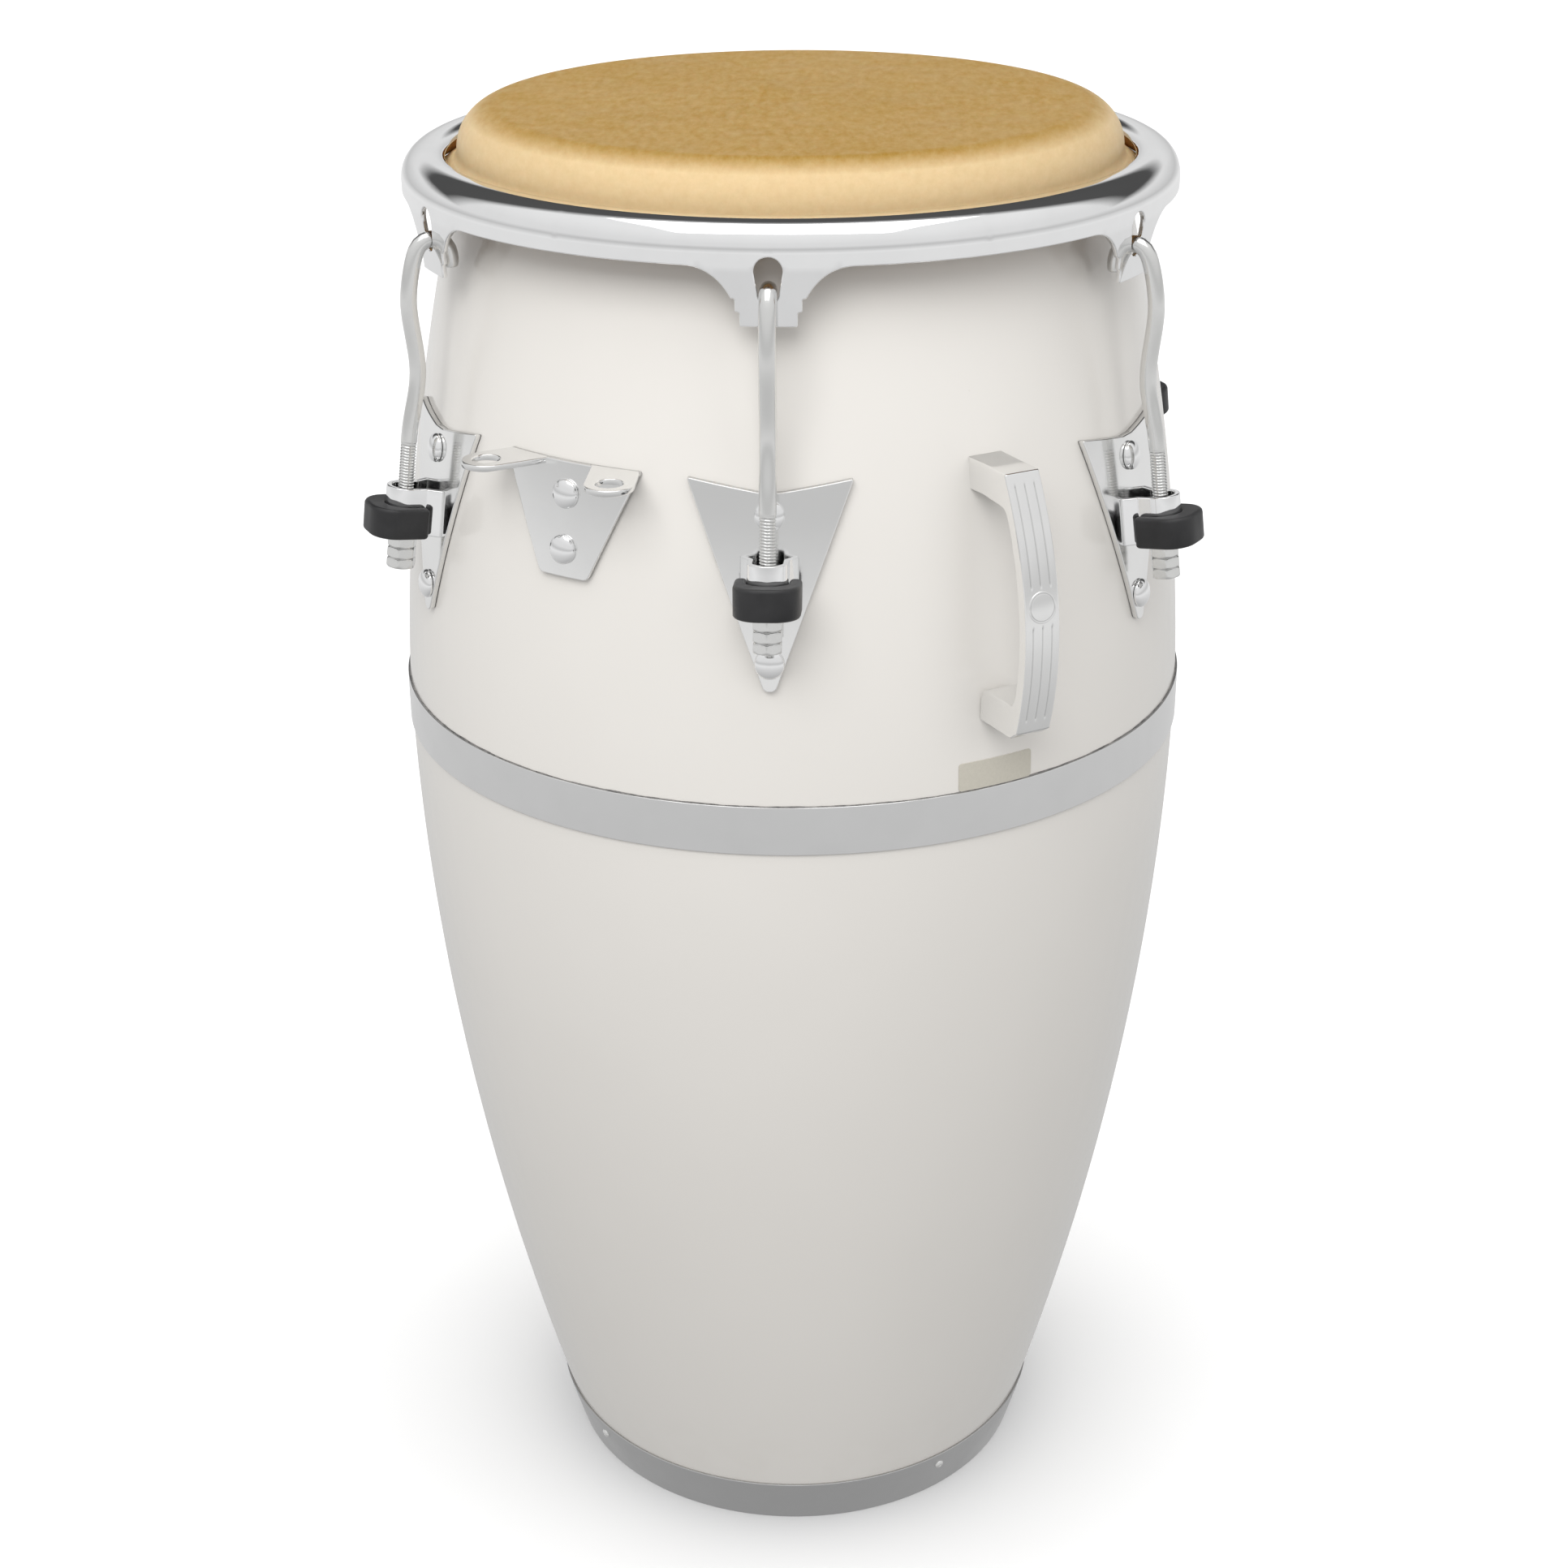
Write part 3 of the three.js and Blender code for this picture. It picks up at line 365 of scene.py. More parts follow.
def filled(loops, spacing):
    """Triangles that fill the first loop and leave the others open, with inner points on a grid."""
    low, high = loops[0].min(0), loops[0].max(0)
    counts = np.maximum(2, np.round((high - low) / spacing)).astype(int)
    xs, ys = (np.linspace(low[k], high[k], counts[k] + 1)[1:-1] for k in (0, 1))
    grid = np.stack(np.meshgrid(xs, ys, indexing="ij"), -1).reshape(-1, 2)
    keep = inside(grid, loops[0]) & (distance_to(grid, loops[0]) > 0.4 * spacing)
    for hole in loops[1:]:
        keep &= ~inside(grid, hole) & (distance_to(grid, hole) > 0.4 * spacing)
    points, edges, start = [], [], 0
    for loop in loops:
        edges += [(start + i, start + (i + 1) % len(loop)) for i in range(len(loop))]
        points.append(loop)
        start += len(loop)
    points = np.concatenate(points + [grid[keep]])
    result = delaunay_2d_cdt([Vector(p) for p in points], edges, [], 0, 1e-6)
    back = [ids[0] if ids else None for ids in result[3]]
    if None in back:
        crossing = [tuple(round(c, 2) for c in result[0][i]) for i, b in enumerate(back) if b is None]
        raise ValueError(f"an outline crosses itself near {crossing[:4]}")
    faces = np.array([[back[i] for i in face] for face in result[2]])
    middles = points[faces].mean(1)
    good = inside(middles, loops[0])
    for hole in loops[1:]:
        good &= ~inside(middles, hole)
    first, second = (points[faces[:, k]] - points[faces[:, 0]] for k in (1, 2))
    area = first[:, 0] * second[:, 1] - first[:, 1] * second[:, 0]
    faces[area < 0] = faces[area < 0][:, ::-1]
    return points, faces[good & (np.abs(area) > 1e-9)]


def sheet(outline, place, thickness, spacing=3, edge=0.6, holes=(), seams=None, rounds=4):
    """A plate cut to an outline, with rounded edges.

    place(u, v, w) maps the flat outline and the depth w, from 0 at the back to the thickness at the
    front, into space. Edges that lie on a seam line u = +-seams are left open.
    """
    loops = []
    for k, loop in enumerate((outline, *holes)):
        loop = divided(loop, spacing)
        wanted = 1 if k == 0 else -1
        loops.append(loop if signed_area(loop) * wanted > 0 else loop[::-1])
    cuts = []
    for loop in loops:
        nxt = np.roll(loop, -1, axis=0)
        on_seam = np.zeros(len(loop), bool)
        if seams:
            on_seam = (np.abs(np.abs(loop[:, 0]) - seams) < 1e-6) & (
                np.abs(np.abs(nxt[:, 0]) - seams) < 1e-6
            )
        cuts.append(on_seam)

    def ring(loop, seam, amount):
        return inset(loop, np.where(seam, 0.0, amount))

    flat_loops = [ring(loop, seam, edge) for loop, seam in zip(loops, cuts)]
    flat, faces = filled(flat_loops, spacing)
    count = len(flat)
    uvs = [flat, flat]
    ws = [np.full(count, float(thickness)), np.zeros(count)]
    lifts = [np.ones(count), -np.ones(count)]
    sides = [np.zeros((count, 2)), np.zeros((count, 2))]
    all_faces = [tuple(f) for f in faces] + [tuple(count + f[::-1]) for f in faces]
    start, begin = 2 * count, 0
    steps = [90 - 90 * k / rounds for k in range(1, rounds + 1)]
    angles = steps + [-a for a in reversed(steps)]
    for loop, seam in zip(loops, cuts):
        size = len(loop)
        toward = ring(loop, seam, 1.0) - loop
        toward /= np.maximum(np.linalg.norm(toward, axis=1), 1e-9)[:, None]
        rows = [np.arange(begin, begin + size)]
        for angle in angles:
            c, s = math.cos(math.radians(angle)), math.sin(math.radians(angle))
            uvs.append(ring(loop, seam, edge * (1 - c)))
            middle = thickness - edge if angle >= 0 else edge
            ws.append(np.full(size, middle + edge * s))
            lifts.append(np.full(size, s))
            sides.append(-toward * c)
            rows.append(np.arange(start, start + size))
            start += size
        rows.append(np.arange(count + begin, count + begin + size))
        for a, b in zip(rows[:-1], rows[1:]):
            for i in range(size):
                if seam[i]:
                    continue
                n = (i + 1) % size
                all_faces.append((a[n], a[i], b[i], b[n]))
        begin += size
    uv, w = np.concatenate(uvs), np.concatenate(ws)
    lift, side = np.concatenate(lifts), np.concatenate(sides)
    step = 0.01
    base = place(uv[:, 0], uv[:, 1], w)
    du = (place(uv[:, 0] + step, uv[:, 1], w) - place(uv[:, 0] - step, uv[:, 1], w)) / (2 * step)
    dv = (place(uv[:, 0], uv[:, 1] + step, w) - place(uv[:, 0], uv[:, 1] - step, w)) / (2 * step)
    front = np.cross(du, dv)
    front /= np.linalg.norm(front, axis=1)[:, None]
    dw = place(uv[:, 0], uv[:, 1], w + step) - base
    flip = np.sign(np.sum(front * dw, 1).mean())
    out = du * side[:, :1] + dv * side[:, 1:]
    out -= front * np.sum(out * front, 1)[:, None]
    out /= np.maximum(np.linalg.norm(out, axis=1), 1e-9)[:, None]
    reach = np.sqrt(np.clip(1 - lift**2, 0, 1))[:, None]
    normals = front * flip * lift[:, None] + out * reach
    if flip < 0:
        all_faces = [tuple(reversed(f)) for f in all_faces]
    return base, all_faces, normals / np.linalg.norm(normals, axis=1)[:, None]


def shell_place(offset, azimuth=0):
    """Wraps a flat outline onto the shell, in front of the drum and then turned to an azimuth."""
    a = math.radians(azimuth)

    def place(u, v, w):
        radius = shell_radius(v) + offset + w
        x, y = u, -np.sqrt(radius**2 - u**2)
        return np.stack([x * math.cos(a) - y * math.sin(a), x * math.sin(a) + y * math.cos(a), v], -1)

    return place


def placed(matrix, w0=0.0):
    rotation, shift = np.array(matrix.to_3x3()), np.array(matrix.translation)

    def place(u, v, w):
        return np.stack([u, v, w + w0], -1) @ rotation.T + shift

    return place


# ---- Pieces ----

MATERIALS = {}
WELD_DISTANCE, SMALLEST_EDGE = 2e-7, 1e-8


def shown(name, data):
    thing = bpy.data.objects.new(name, data)
    bpy.context.scene.collection.objects.link(thing)
    return thing


def add(name, shape, material, replaces=None, body="shell"):
    """Makes a piece in metres, with smooth shading that keeps wide faces flat."""
    mesh = bpy.data.meshes.new(name)
    mesh.from_pydata((shape[0] * MM).tolist(), [], [list(map(int, f)) for f in shape[1]])
    mesh.validate()
    normals = shape[2] if len(shape) > 2 else None
    work = bmesh.new()
    work.from_mesh(mesh)
    if normals is not None:
        layer = work.verts.layers.float_vector.new("facing")
        for vert, normal in zip(work.verts, normals):
            vert[layer] = normal
    bmesh.ops.remove_doubles(work, verts=work.verts, dist=WELD_DISTANCE)
    bmesh.ops.dissolve_degenerate(work, edges=work.edges, dist=SMALLEST_EDGE)
    if normals is not None:
        normals = np.array([tuple(v[layer]) for v in work.verts])
        work.verts.layers.float_vector.remove(layer)
    work.to_mesh(mesh)
    work.free()
    for polygon in mesh.polygons:
        polygon.use_smooth = True
    if normals is None:
        normals = area_normals(mesh)
    mesh.normals_split_custom_set_from_vertices([tuple(n) for n in normals])
    mesh.materials.append(MATERIALS[material])
    piece = shown(name, mesh)
    if body:
        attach(piece, body)
    if replaces:
        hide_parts(replaces)
    return piece


def area_normals(mesh):
    total = np.zeros((len(mesh.vertices), 3))
    for polygon in mesh.polygons:
        normal = np.array(polygon.normal) * polygon.area
        for index in polygon.vertices:
            total[index] += normal
    length = np.linalg.norm(total, axis=1)
    total[length < 1e-14] = (0, 0, 1)
    return total / np.maximum(np.linalg.norm(total, axis=1), 1e-14)[:, None]


# ---- Materials ----


class Nodes:
    """A short way to write the node tree of a material or of the world."""

    def __init__(self, name, world=False):
        self.owner = (bpy.data.worlds if world else bpy.data.materials).new(name)
        self.owner.use_nodes = True
        self.tree = self.owner.node_tree
        self.shader = self.tree.nodes["Background" if world else "Principled BSDF"]
        self.where = self.new("ShaderNodeTexCoord").outputs["Generated" if world else "Object"]

    def new(self, kind, **settings):
        node = self.tree.nodes.new(kind)
        for key, value in settings.items():
            setattr(node, key, value)
        return node

    def link(self, source, target):
        self.tree.links.new(source, target)

    def set(self, **values):
        for key, value in values.items():
            self.shader.inputs[key.replace("_", " ")].default_value = value

    def stretched(self, scale):
        node = self.new("ShaderNodeMapping")
        node.inputs["Scale"].default_value = scale
        self.link(self.where, node.inputs["Vector"])
        return node.outputs["Vector"]

    def noise(self, scale, detail=4, rough=0.5, where=None, distortion=0.0):
        node = self.new("ShaderNodeTexNoise")
        node.inputs["Scale"].default_value = scale
        node.inputs["Detail"].default_value = detail
        node.inputs["Roughness"].default_value = rough
        node.inputs["Distortion"].default_value = distortion
        self.link(where or self.where, node.inputs["Vector"])
        return node.outputs["Fac"]

    def cells(self, scale):
        node = self.new("ShaderNodeTexVoronoi")
        node.inputs["Scale"].default_value = scale
        self.link(self.where, node.inputs["Vector"])
        return node.outputs["Distance"]

    def ramp(self, value, *stops):
        node = self.new("ShaderNodeValToRGB")
        ramp = node.color_ramp
        for index, (place, color) in enumerate(stops):
            color = (*color, 1) if isinstance(color, tuple) else (color, color, color, 1)
            element = ramp.elements[index] if index < 2 else ramp.elements.new(place)
            element.position, element.color = place, color
        self.link(value, node.inputs["Fac"])
        return node.outputs["Color"]

    def feed(self, socket, value):
        if isinstance(value, (int, float)):
            socket.default_value = value
        elif isinstance(value, tuple):
            socket.default_value = (*value, 1)
        else:
            self.link(value, socket)

    def math(self, kind, a, b=0.0):
        node = self.new("ShaderNodeMath", operation=kind)
        self.feed(node.inputs[0], a)
        self.feed(node.inputs[1], b)
        return node.outputs[0]

    def mix(self, share, a, b, kind="MIX"):
        """Mixes two colours, whose sockets are 6 and 7 of the node's inputs."""
        node = self.new("ShaderNodeMix", data_type="RGBA", blend_type=kind)
        self.feed(node.inputs["Factor"], share)
        self.feed(node.inputs[6], a)
        self.feed(node.inputs[7], b)
        return node.outputs[2]

    def range(self, value, low, high, to_low, to_high):
        node = self.new("ShaderNodeMapRange")
        for socket, number in zip(list(node.inputs)[1:5], (low, high, to_low, to_high)):
            socket.default_value = number
        self.link(value, node.inputs[0])
        return node.outputs[0]

    def bump(self, height, strength, distance):
        node = self.new("ShaderNodeBump")
        node.inputs["Strength"].default_value = strength
        node.inputs["Distance"].default_value = distance
        self.link(height, node.inputs["Height"])
        previous = self.shader.inputs["Normal"]
        if previous.is_linked:
            self.link(previous.links[0].from_socket, node.inputs["Normal"])
        self.link(node.outputs[0], previous)

    def axis(self, name):
        node = self.new("ShaderNodeSeparateXYZ")
        self.link(self.where, node.inputs[0])
        return node.outputs[name]

    def hollows(self):
        return self.new("ShaderNodeNewGeometry").outputs["Pointiness"]

    def use(self, **sockets):
        for key, value in sockets.items():
            self.link(value, self.shader.inputs[key.replace("_", " ")])


def gelcoat():
    n = Nodes("gelcoat_white")
    n.set(Specular_IOR_Level=0.5, Coat_Weight=0.35, Coat_Roughness=0.06)
    cloud = n.noise(5, 3, 0.6)
    tone = n.ramp(cloud, (0.3, (0.640, 0.618, 0.585)), (0.7, (0.660, 0.638, 0.605)))
    specks = n.range(n.cells(95), 0.0, 0.035, 1.0, 0.0)
    rare = n.range(n.noise(17, 1), 0.66, 0.70, 0.0, 0.55)
    tone = n.mix(n.math("MULTIPLY", specks, rare), tone, (0.42, 0.38, 0.32))
    scuff = n.range(n.axis("Z"), 0.0, 0.09, 0.16, 0.0)
    grime = n.math("MULTIPLY", scuff, n.range(n.noise(60, 5), 0.4, 0.7, 0.0, 1.0))
    tone = n.mix(grime, tone, (0.52, 0.49, 0.44))
    n.use(Base_Color=tone, Roughness=n.range(n.noise(34, 5, 0.7), 0.3, 0.7, 0.17, 0.27))
    n.bump(n.noise(140, 2), 0.05, 0.0004)
    n.bump(n.noise(9, 1), 0.10, 0.0008)
    return n.owner


def raw_fibreglass():
    n = Nodes("fibreglass_inside")
    strands = n.noise(60, 8, 0.8, n.stretched((1, 1, 0.25)), 1.5)
    tone = n.ramp(strands, (0.35, (0.42, 0.38, 0.28)), (0.65, (0.66, 0.62, 0.50)))
    n.use(Base_Color=tone, Roughness=n.range(strands, 0.3, 0.7, 0.35, 0.75))
    n.bump(strands, 0.7, 0.0012)
    return n.owner


def rawhide(name, pale, deep, roughness):
    """Hide that is pale where it is stretched thin over the bearing edge and amber on top."""
    n = Nodes(name)
    n.set(Subsurface_Weight=0.12, Subsurface_Scale=0.004, Specular_IOR_Level=0.10)
    cloud = n.noise(11, 6, 0.62, distortion=0.6)
    fine = n.noise(260, 6, 0.7, n.stretched((1, 0.35, 1)))
    top = n.range(n.axis("Z"), (DRUM_HEIGHT - 6) * MM, (DRUM_HEIGHT - 0.3) * MM, 0.0, 1.0)
    share = n.math("MULTIPLY", top, n.range(cloud, 0.2, 0.8, 0.86, 1.0))
    tone = n.mix(share, pale, deep)
    tone = n.mix(n.range(fine, 0.35, 0.75, 0.0, 0.12), tone, (0.93, 0.80, 0.52))
    pores = n.range(n.cells(420), 0.0, 0.12, 0.35, 0.0)
    tone = n.mix(n.math("MULTIPLY", pores, n.range(cloud, 0.45, 0.6, 0.0, 1.0)), tone, (0.36, 0.20, 0.07))
    fleck = n.range(n.cells(130), 0.0, 0.05, 1.0, 0.0)
    fleck = n.math("MULTIPLY", fleck, n.range(n.noise(23, 1), 0.6, 0.65, 0.0, 0.7))
    tone = n.mix(fleck, tone, (0.97, 0.88, 0.66))
    n.use(Base_Color=tone, Roughness=n.range(n.noise(48, 5, 0.6), 0.3, 0.7, roughness, roughness + 0.14))
    n.bump(fine, 0.10, 0.0003)
    n.bump(cloud, 0.12, 0.0010)
    return n.owner


def plated(name, tone, roughness, haze, scratch=0.03, grain=(1, 1, 1), painted_hollow_shade=0.0):
    """Plated metal with faint haze, wiping marks and fine scratches, and, where asked, painted shade that
    darkens its hollows such as thread roots and grooves.
    """
    n = Nodes(name)
    n.set(Metallic=1.0)
    cloud = n.noise(38, 5, 0.6)
    color = n.mix(n.range(cloud, 0.3, 0.7, 0.0, 0.5), tone, tuple(c * 0.93 for c in tone))
    marks = n.noise(420, 6, 0.75, n.stretched(grain))
    # Painted shade: hollows found by pointiness, such as thread roots and handle grooves, are darkened
    # towards a deep shade of the tone.
    if painted_hollow_shade:
        color = n.mix(n.range(n.hollows(), 0.40, 0.49, painted_hollow_shade, 0.0), color, tuple(c * 0.16 for c in tone))
    n.use(Base_Color=color, Roughness=n.range(cloud, 0.3, 0.75, roughness, roughness + haze))
    n.bump(marks, scratch, 0.0002)
    return n.owner


def black_rubber():
    n = Nodes("rubber_black")
    n.set(Specular_IOR_Level=0.45)
    grain = n.noise(900, 3, 0.6)
    cloud = n.noise(70, 4)
    tone = n.ramp(cloud, (0.3, (0.010, 0.010, 0.011)), (0.7, (0.022, 0.022, 0.023)))
    n.use(Base_Color=tone, Roughness=n.range(cloud, 0.3, 0.7, 0.36, 0.52))
    n.bump(grain, 0.16, 0.0003)
    return n.owner


def label_film():
    n = Nodes("label_beige")
    fibre = n.noise(700, 5, 0.7)
    tone = n.ramp(fibre, (0.3, (0.455, 0.430, 0.37)), (0.7, (0.495, 0.470, 0.405)))
    n.use(Base_Color=tone, Roughness=n.range(fibre, 0.3, 0.7, 0.34, 0.46))
    n.bump(fibre, 0.08, 0.0002)
    return n.owner


# A dark, rough material used as painted shade in gaps: the gap along the belly band's top, and under the
# plates together with their gaskets.
def sealant():
    n = Nodes("dark_sealant")
    cloud = n.noise(160, 5, 0.7)
    tone = n.ramp(cloud, (0.35, (0.05, 0.05, 0.05)), (0.7, (0.24, 0.23, 0.22)))
    n.use(Base_Color=tone, Roughness=n.range(cloud, 0.3, 0.7, 0.5, 0.8))
    n.bump(cloud, 0.4, 0.0004)
    return n.owner


MATERIALS.update(
    gelcoat=gelcoat(),
    fibreglass=raw_fibreglass(),
    hide=rawhide("rawhide_head", (0.51, 0.375, 0.205), (0.255, 0.138, 0.010), 0.36),
    torn_hide=rawhide("rawhide_torn_edge", (0.52, 0.27, 0.09), (0.52, 0.27, 0.09), 0.6),
    chrome=plated("chrome_polished", (0.93, 0.932, 0.935), 0.035, 0.05),
    plate_chrome=plated("chrome_pressed", (0.90, 0.90, 0.895), 0.09, 0.08, 0.05),
    rod=plated("zinc_bright", (0.80, 0.80, 0.79), 0.15, 0.12, 0.12, painted_hollow_shade=0.9),
    casting=plated("casting_satin", (0.93, 0.93, 0.925), 0.17, 0.08, 0.04, painted_hollow_shade=0.7),
    band=plated("band_bright", (0.80, 0.80, 0.80), 0.10, 0.08, 0.05, (0.2, 0.2, 3)),
    foot=plated("steel_plain", (0.58, 0.58, 0.58), 0.30, 0.14, 0.12, (0.3, 0.3, 4)),
    rubber=black_rubber(),
    label=label_film(),
    sealant=sealant(),
)

# ---- Shell, bands and label ----


def waves(angles, counts, low, high, phase=0):
    """A sum of sine waves round the drum, with random phases and heights between low and high."""
    return sum(
        np.sin(k * angles + phase + RNG.uniform(0, FULL_PHASE)) * RNG.uniform(low, high) for k in counts
    )


def outer_line(low, high, step=5, offset=0.0):
    heights = np.linspace(low, high, max(2, int((high - low) / step)))
    return list(zip(shell_radius(heights) + offset, heights))


def inner_ripple(shape, limit):
    """Hand-laid unevenness on the points that lie inside a wall."""
    points = shape[0]
    radius = np.hypot(points[:, 0], points[:, 1])
    azimuth = np.arctan2(points[:, 0], -points[:, 1])
    deep = radius < shell_radius(points[:, 2]) - limit
    wave = np.zeros(len(points))
    for _ in range(9):
        k, m = RNG.integers(3, 22), RNG.uniform(0.01, 0.08)
        wave += np.sin(k * azimuth + m * points[:, 2] + RNG.uniform(0, FULL_PHASE)) * RNG.uniform(0.03, 0.12)
    scale = 1 + np.where(deep, wave, 0) / np.maximum(radius, 1)
    points[:, :2] *= scale[:, None]
    return shape


def two_sided(piece, inner_material, limit):
    """Gives the faces on a wall's inner side their own material."""
    piece.data.materials.append(MATERIALS[inner_material])
    for polygon in piece.data.polygons:
        x, y, z = (c / MM for c in polygon.center)
        if math.hypot(x, y) < float(shell_radius(z)) - limit and z < EDGE_Z + 4:
            polygon.material_index = 1


def make_shell():
    bottom = BELLY_Z + CLEARANCE / 2
    crown = HEAD_RADIUS - EDGE_ROUND
    upper = [
        *outer_line(bottom, EDGE_Z),
        *arc(crown, EDGE_Z, EDGE_ROUND, 0, 90, 14)[1:],
        *arc(crown, EDGE_Z, EDGE_ROUND - SHELL_WALL, 90, 0, 10),
        *reversed(outer_line(bottom, EDGE_Z, offset=-SHELL_WALL)[:-1]),
    ]
    piece = add("shell_upper", inner_ripple(turned(upper), 4), "gelcoat", "upper_shell")
    two_sided(piece, "fibreglass", 3)
    low, top = FOOT_FLANGE_THICKNESS + CLEARANCE, BELLY_Z - CLEARANCE / 2
    lower = [*outer_line(low, top), *reversed(outer_line(low, top, offset=-SHELL_WALL))]
    piece = add("shell_lower", inner_ripple(turned(lower), 4), "gelcoat", "lower_shell")
    two_sided(piece, "fibreglass", 3)


def make_belly_band():
    low, high = BELLY_Z - BELLY_BAND_WIDTH / 2, BELLY_Z + BELLY_BAND_WIDTH / 2
    inner = BELLY_RADIUS + 0.05
    outer = BELLY_RADIUS + CLEARANCE + BELLY_BAND_THICKNESS
    profile = rounded([(inner, low), (outer, low), (outer, high), (inner, high)], 0.35)
    add("belly_band_strip", turned(profile), "band", "belly_band")
    lap = [(-9, low + 0.2), (9, low + 0.2), (9, high - 0.2), (-9, high - 0.2)]
    place = shell_place(CLEARANCE + BELLY_BAND_THICKNESS, 180)
    add("belly_band_lap", sheet(rounded(lap, 1.5), place, 0.7, 3, 0.3), "band")
    # A thin, uneven dark line along the band's upper edge is painted shade, standing in for the shadowed gap
    # there.
    angles = around(720)
    waver = waves(angles, (3, 7, 13, 29, 61, 127), 0.2, 0.5)
    rise = np.clip(0.42 + 0.22 * waver, 0.05, 1.1)
    radius = shell_radius(high)
    rings = []
    for out, share in ((-0.4, -1.0), (0.75, -1.0), (0.6, 0.35), (0.25, 0.9), (-0.4, 1.0)):
        z = high + np.where(share < 0, share, share * rise)
        rings.append(circle(radius + out, angles, z))
    add("belly_band_sealant", loft(rings, close=True), "sealant")


def make_foot():
    top = FOOT_BAND_HEIGHT
    inner, outer = CLEARANCE, CLEARANCE + FOOT_BAND_THICKNESS
    flange = float(shell_radius(0)) - FOOT_FLANGE_WIDTH
    steps = list(np.linspace(0, top, 8))
    corners = [
        *[(float(shell_radius(z)) + outer, z) for z in steps],
        *[(float(shell_radius(z)) + inner * 0.2, z) for z in reversed(steps[1:])],
        (float(shell_radius(0)) - 1, FOOT_FLANGE_THICKNESS),
        (flange, FOOT_FLANGE_THICKNESS),
        (flange, 0),
    ]
    add("foot_band_ring", turned(rounded(corners, 0.35, 3)), "foot", "foot_band")
    lap = [(-7, 1), (7, 1), (7, top - 0.4), (-7, top - 0.4)]
    shape = sheet(rounded(lap, 1.2), shell_place(outer, 176), 0.8, 3, 0.3)
    add("foot_band_lap", shape, "foot")
    for i in range(4):
        azimuth = FOOT_SCREW_AZIMUTH + 90 * i
        head = [(0.75, 1.15), (0.95, 1.45), (1.7, 1.3), (2.35, 0.85), (2.7, 0.1), (2.7, -0.3)]
        profile = [(0.0, 0.75), (0.72, 0.75), *head, (1.3, -0.4), (1.3, -6.5), (0, -7)]
        shape = moved(turned(profile, 32, close=False), on_shell(azimuth, FOOT_SCREW_HEIGHT, outer))
        add(f"foot_screw_fine_{i + 1}", shape, "rod", f"foot_screw_{i + 1}")


def make_label():
    low = BELLY_Z + BELLY_BAND_WIDTH / 2 + CLEARANCE
    side, top = LABEL_WIDTH / 2, low + LABEL_HEIGHT
    outline = rounded([(-side, low), (side, low), (side, top), (-side, top)], 1.6)
    place = shell_place(0.02, HANDLE_AZIMUTH)
    add("label_blank", sheet(outline, place, 0.35, 3, 0.14), "label", "blank_label")


# ---- Head, hoop and rim ----


def make_head():
    crown = HEAD_RADIUS - EDGE_ROUND
    over, under = EDGE_ROUND + CLEARANCE + SKIN_THICKNESS, EDGE_ROUND + 0.1
    wrap = HOOP_SECTION + 0.2
    flare = 47
    reach = 24
    tuck = -137

    def line(radius, hoop):
        turn_z = EDGE_Z - 0.5
        x, y = crown + radius, turn_z
        bend = 5.5 + (SKIN_THICKNESS if hoop > wrap else 0)
        curve = arc(x + bend, y, bend, 180, 180 + flare, 5)
        end = arc(HOOP_RADIUS, HOOP_Z, hoop, tuck, tuck + reach, 3)
        return [*arc(crown, EDGE_Z, radius, 90, 0, 18), *curve, *end]

    outer, inner = line(over, wrap), line(under, wrap + SKIN_THICKNESS)
    top = [(r, DRUM_HEIGHT) for r in np.linspace(0, crown, 24)[:-1]]
    base = [(r, DRUM_HEIGHT - SKIN_THICKNESS - 0.2) for r in np.linspace(crown, 0, 6)[1:]]
    shape = turned([*top, *outer, *reversed(inner), *base], close=False)
    points = shape[0]
    radius = np.hypot(points[:, 0], points[:, 1])
    azimuth = np.arctan2(points[:, 0], -points[:, 1])
    low = points[:, 2] < EDGE_Z + 6
    wave = 0.16 * np.sin(6 * azimuth + 0.4) + 0.10 * np.sin(17 * azimuth) + 0.07 * np.sin(31 * azimuth + 2)
    points[:, 2] += np.where(low, wave * 0.5, 0)
    points[:, 2] -= np.where(~low & (radius < crown), 0.05 * (1 + np.sin(radius / 17 + 2 * azimuth)), 0)
    piece = add("head_membrane", shape, "hide", "head_skin", None)
    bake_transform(piece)


def make_hoop():
    """The hoop with the hide wound round it, and the torn edge of the hide standing up beside it."""
    angles = around(480)
    rings = []
    for a in around(20):
        lump = waves(angles, (9, 23, 57, 111), 0.02, 0.07, 2 * a)
        r = HOOP_RADIUS + (HOOP_SECTION + lump) * math.cos(a)
        rings.append(circle(r, angles, HOOP_Z + (HOOP_SECTION + lump) * math.sin(a)))
    add("flesh_hoop_wound", loft(rings, close=True), "torn_hide", "flesh_hoop", "rim")
    angles = around(1440)
    coarse = waves(angles, (5, 11, 19, 43), 0.2, 0.6)
    jagged = RNG.uniform(-0.5, 0.5, len(angles))
    top = np.clip(2.6 + 0.6 * coarse + 0.7 * jagged, 0.6, 4.4)
    rings = []
    base_r, base_z = HOOP_RADIUS - 4.2, HOOP_Z + 1.5
    outside, inside_edge = [(0.55, 0.0), (0.55, 0.5), (0.3, 0.85)], [(-0.35, 0.85), (-0.55, 0.5), (-0.55, 0)]
    for out, share in (*outside, (0.0, 1.0), *inside_edge):
        wander = RNG.uniform(-0.14, 0.14, len(angles)) * (share > 0)
        r = base_r + out + wander - share * 2.0
        rings.append(circle(r, angles, base_z + share * top))
    add("torn_hide_edge", loft(rings, close=True), "torn_hide", None, "rim")


def facing_arc(r, z, radius, angles):
    """An arc of (radius, height, facing) points, the facing in degrees from level."""
    turns = [(math.radians(a), a) for a in angles]
    return [(r + radius * math.cos(t), z + radius * math.sin(t), a) for t, a in turns]


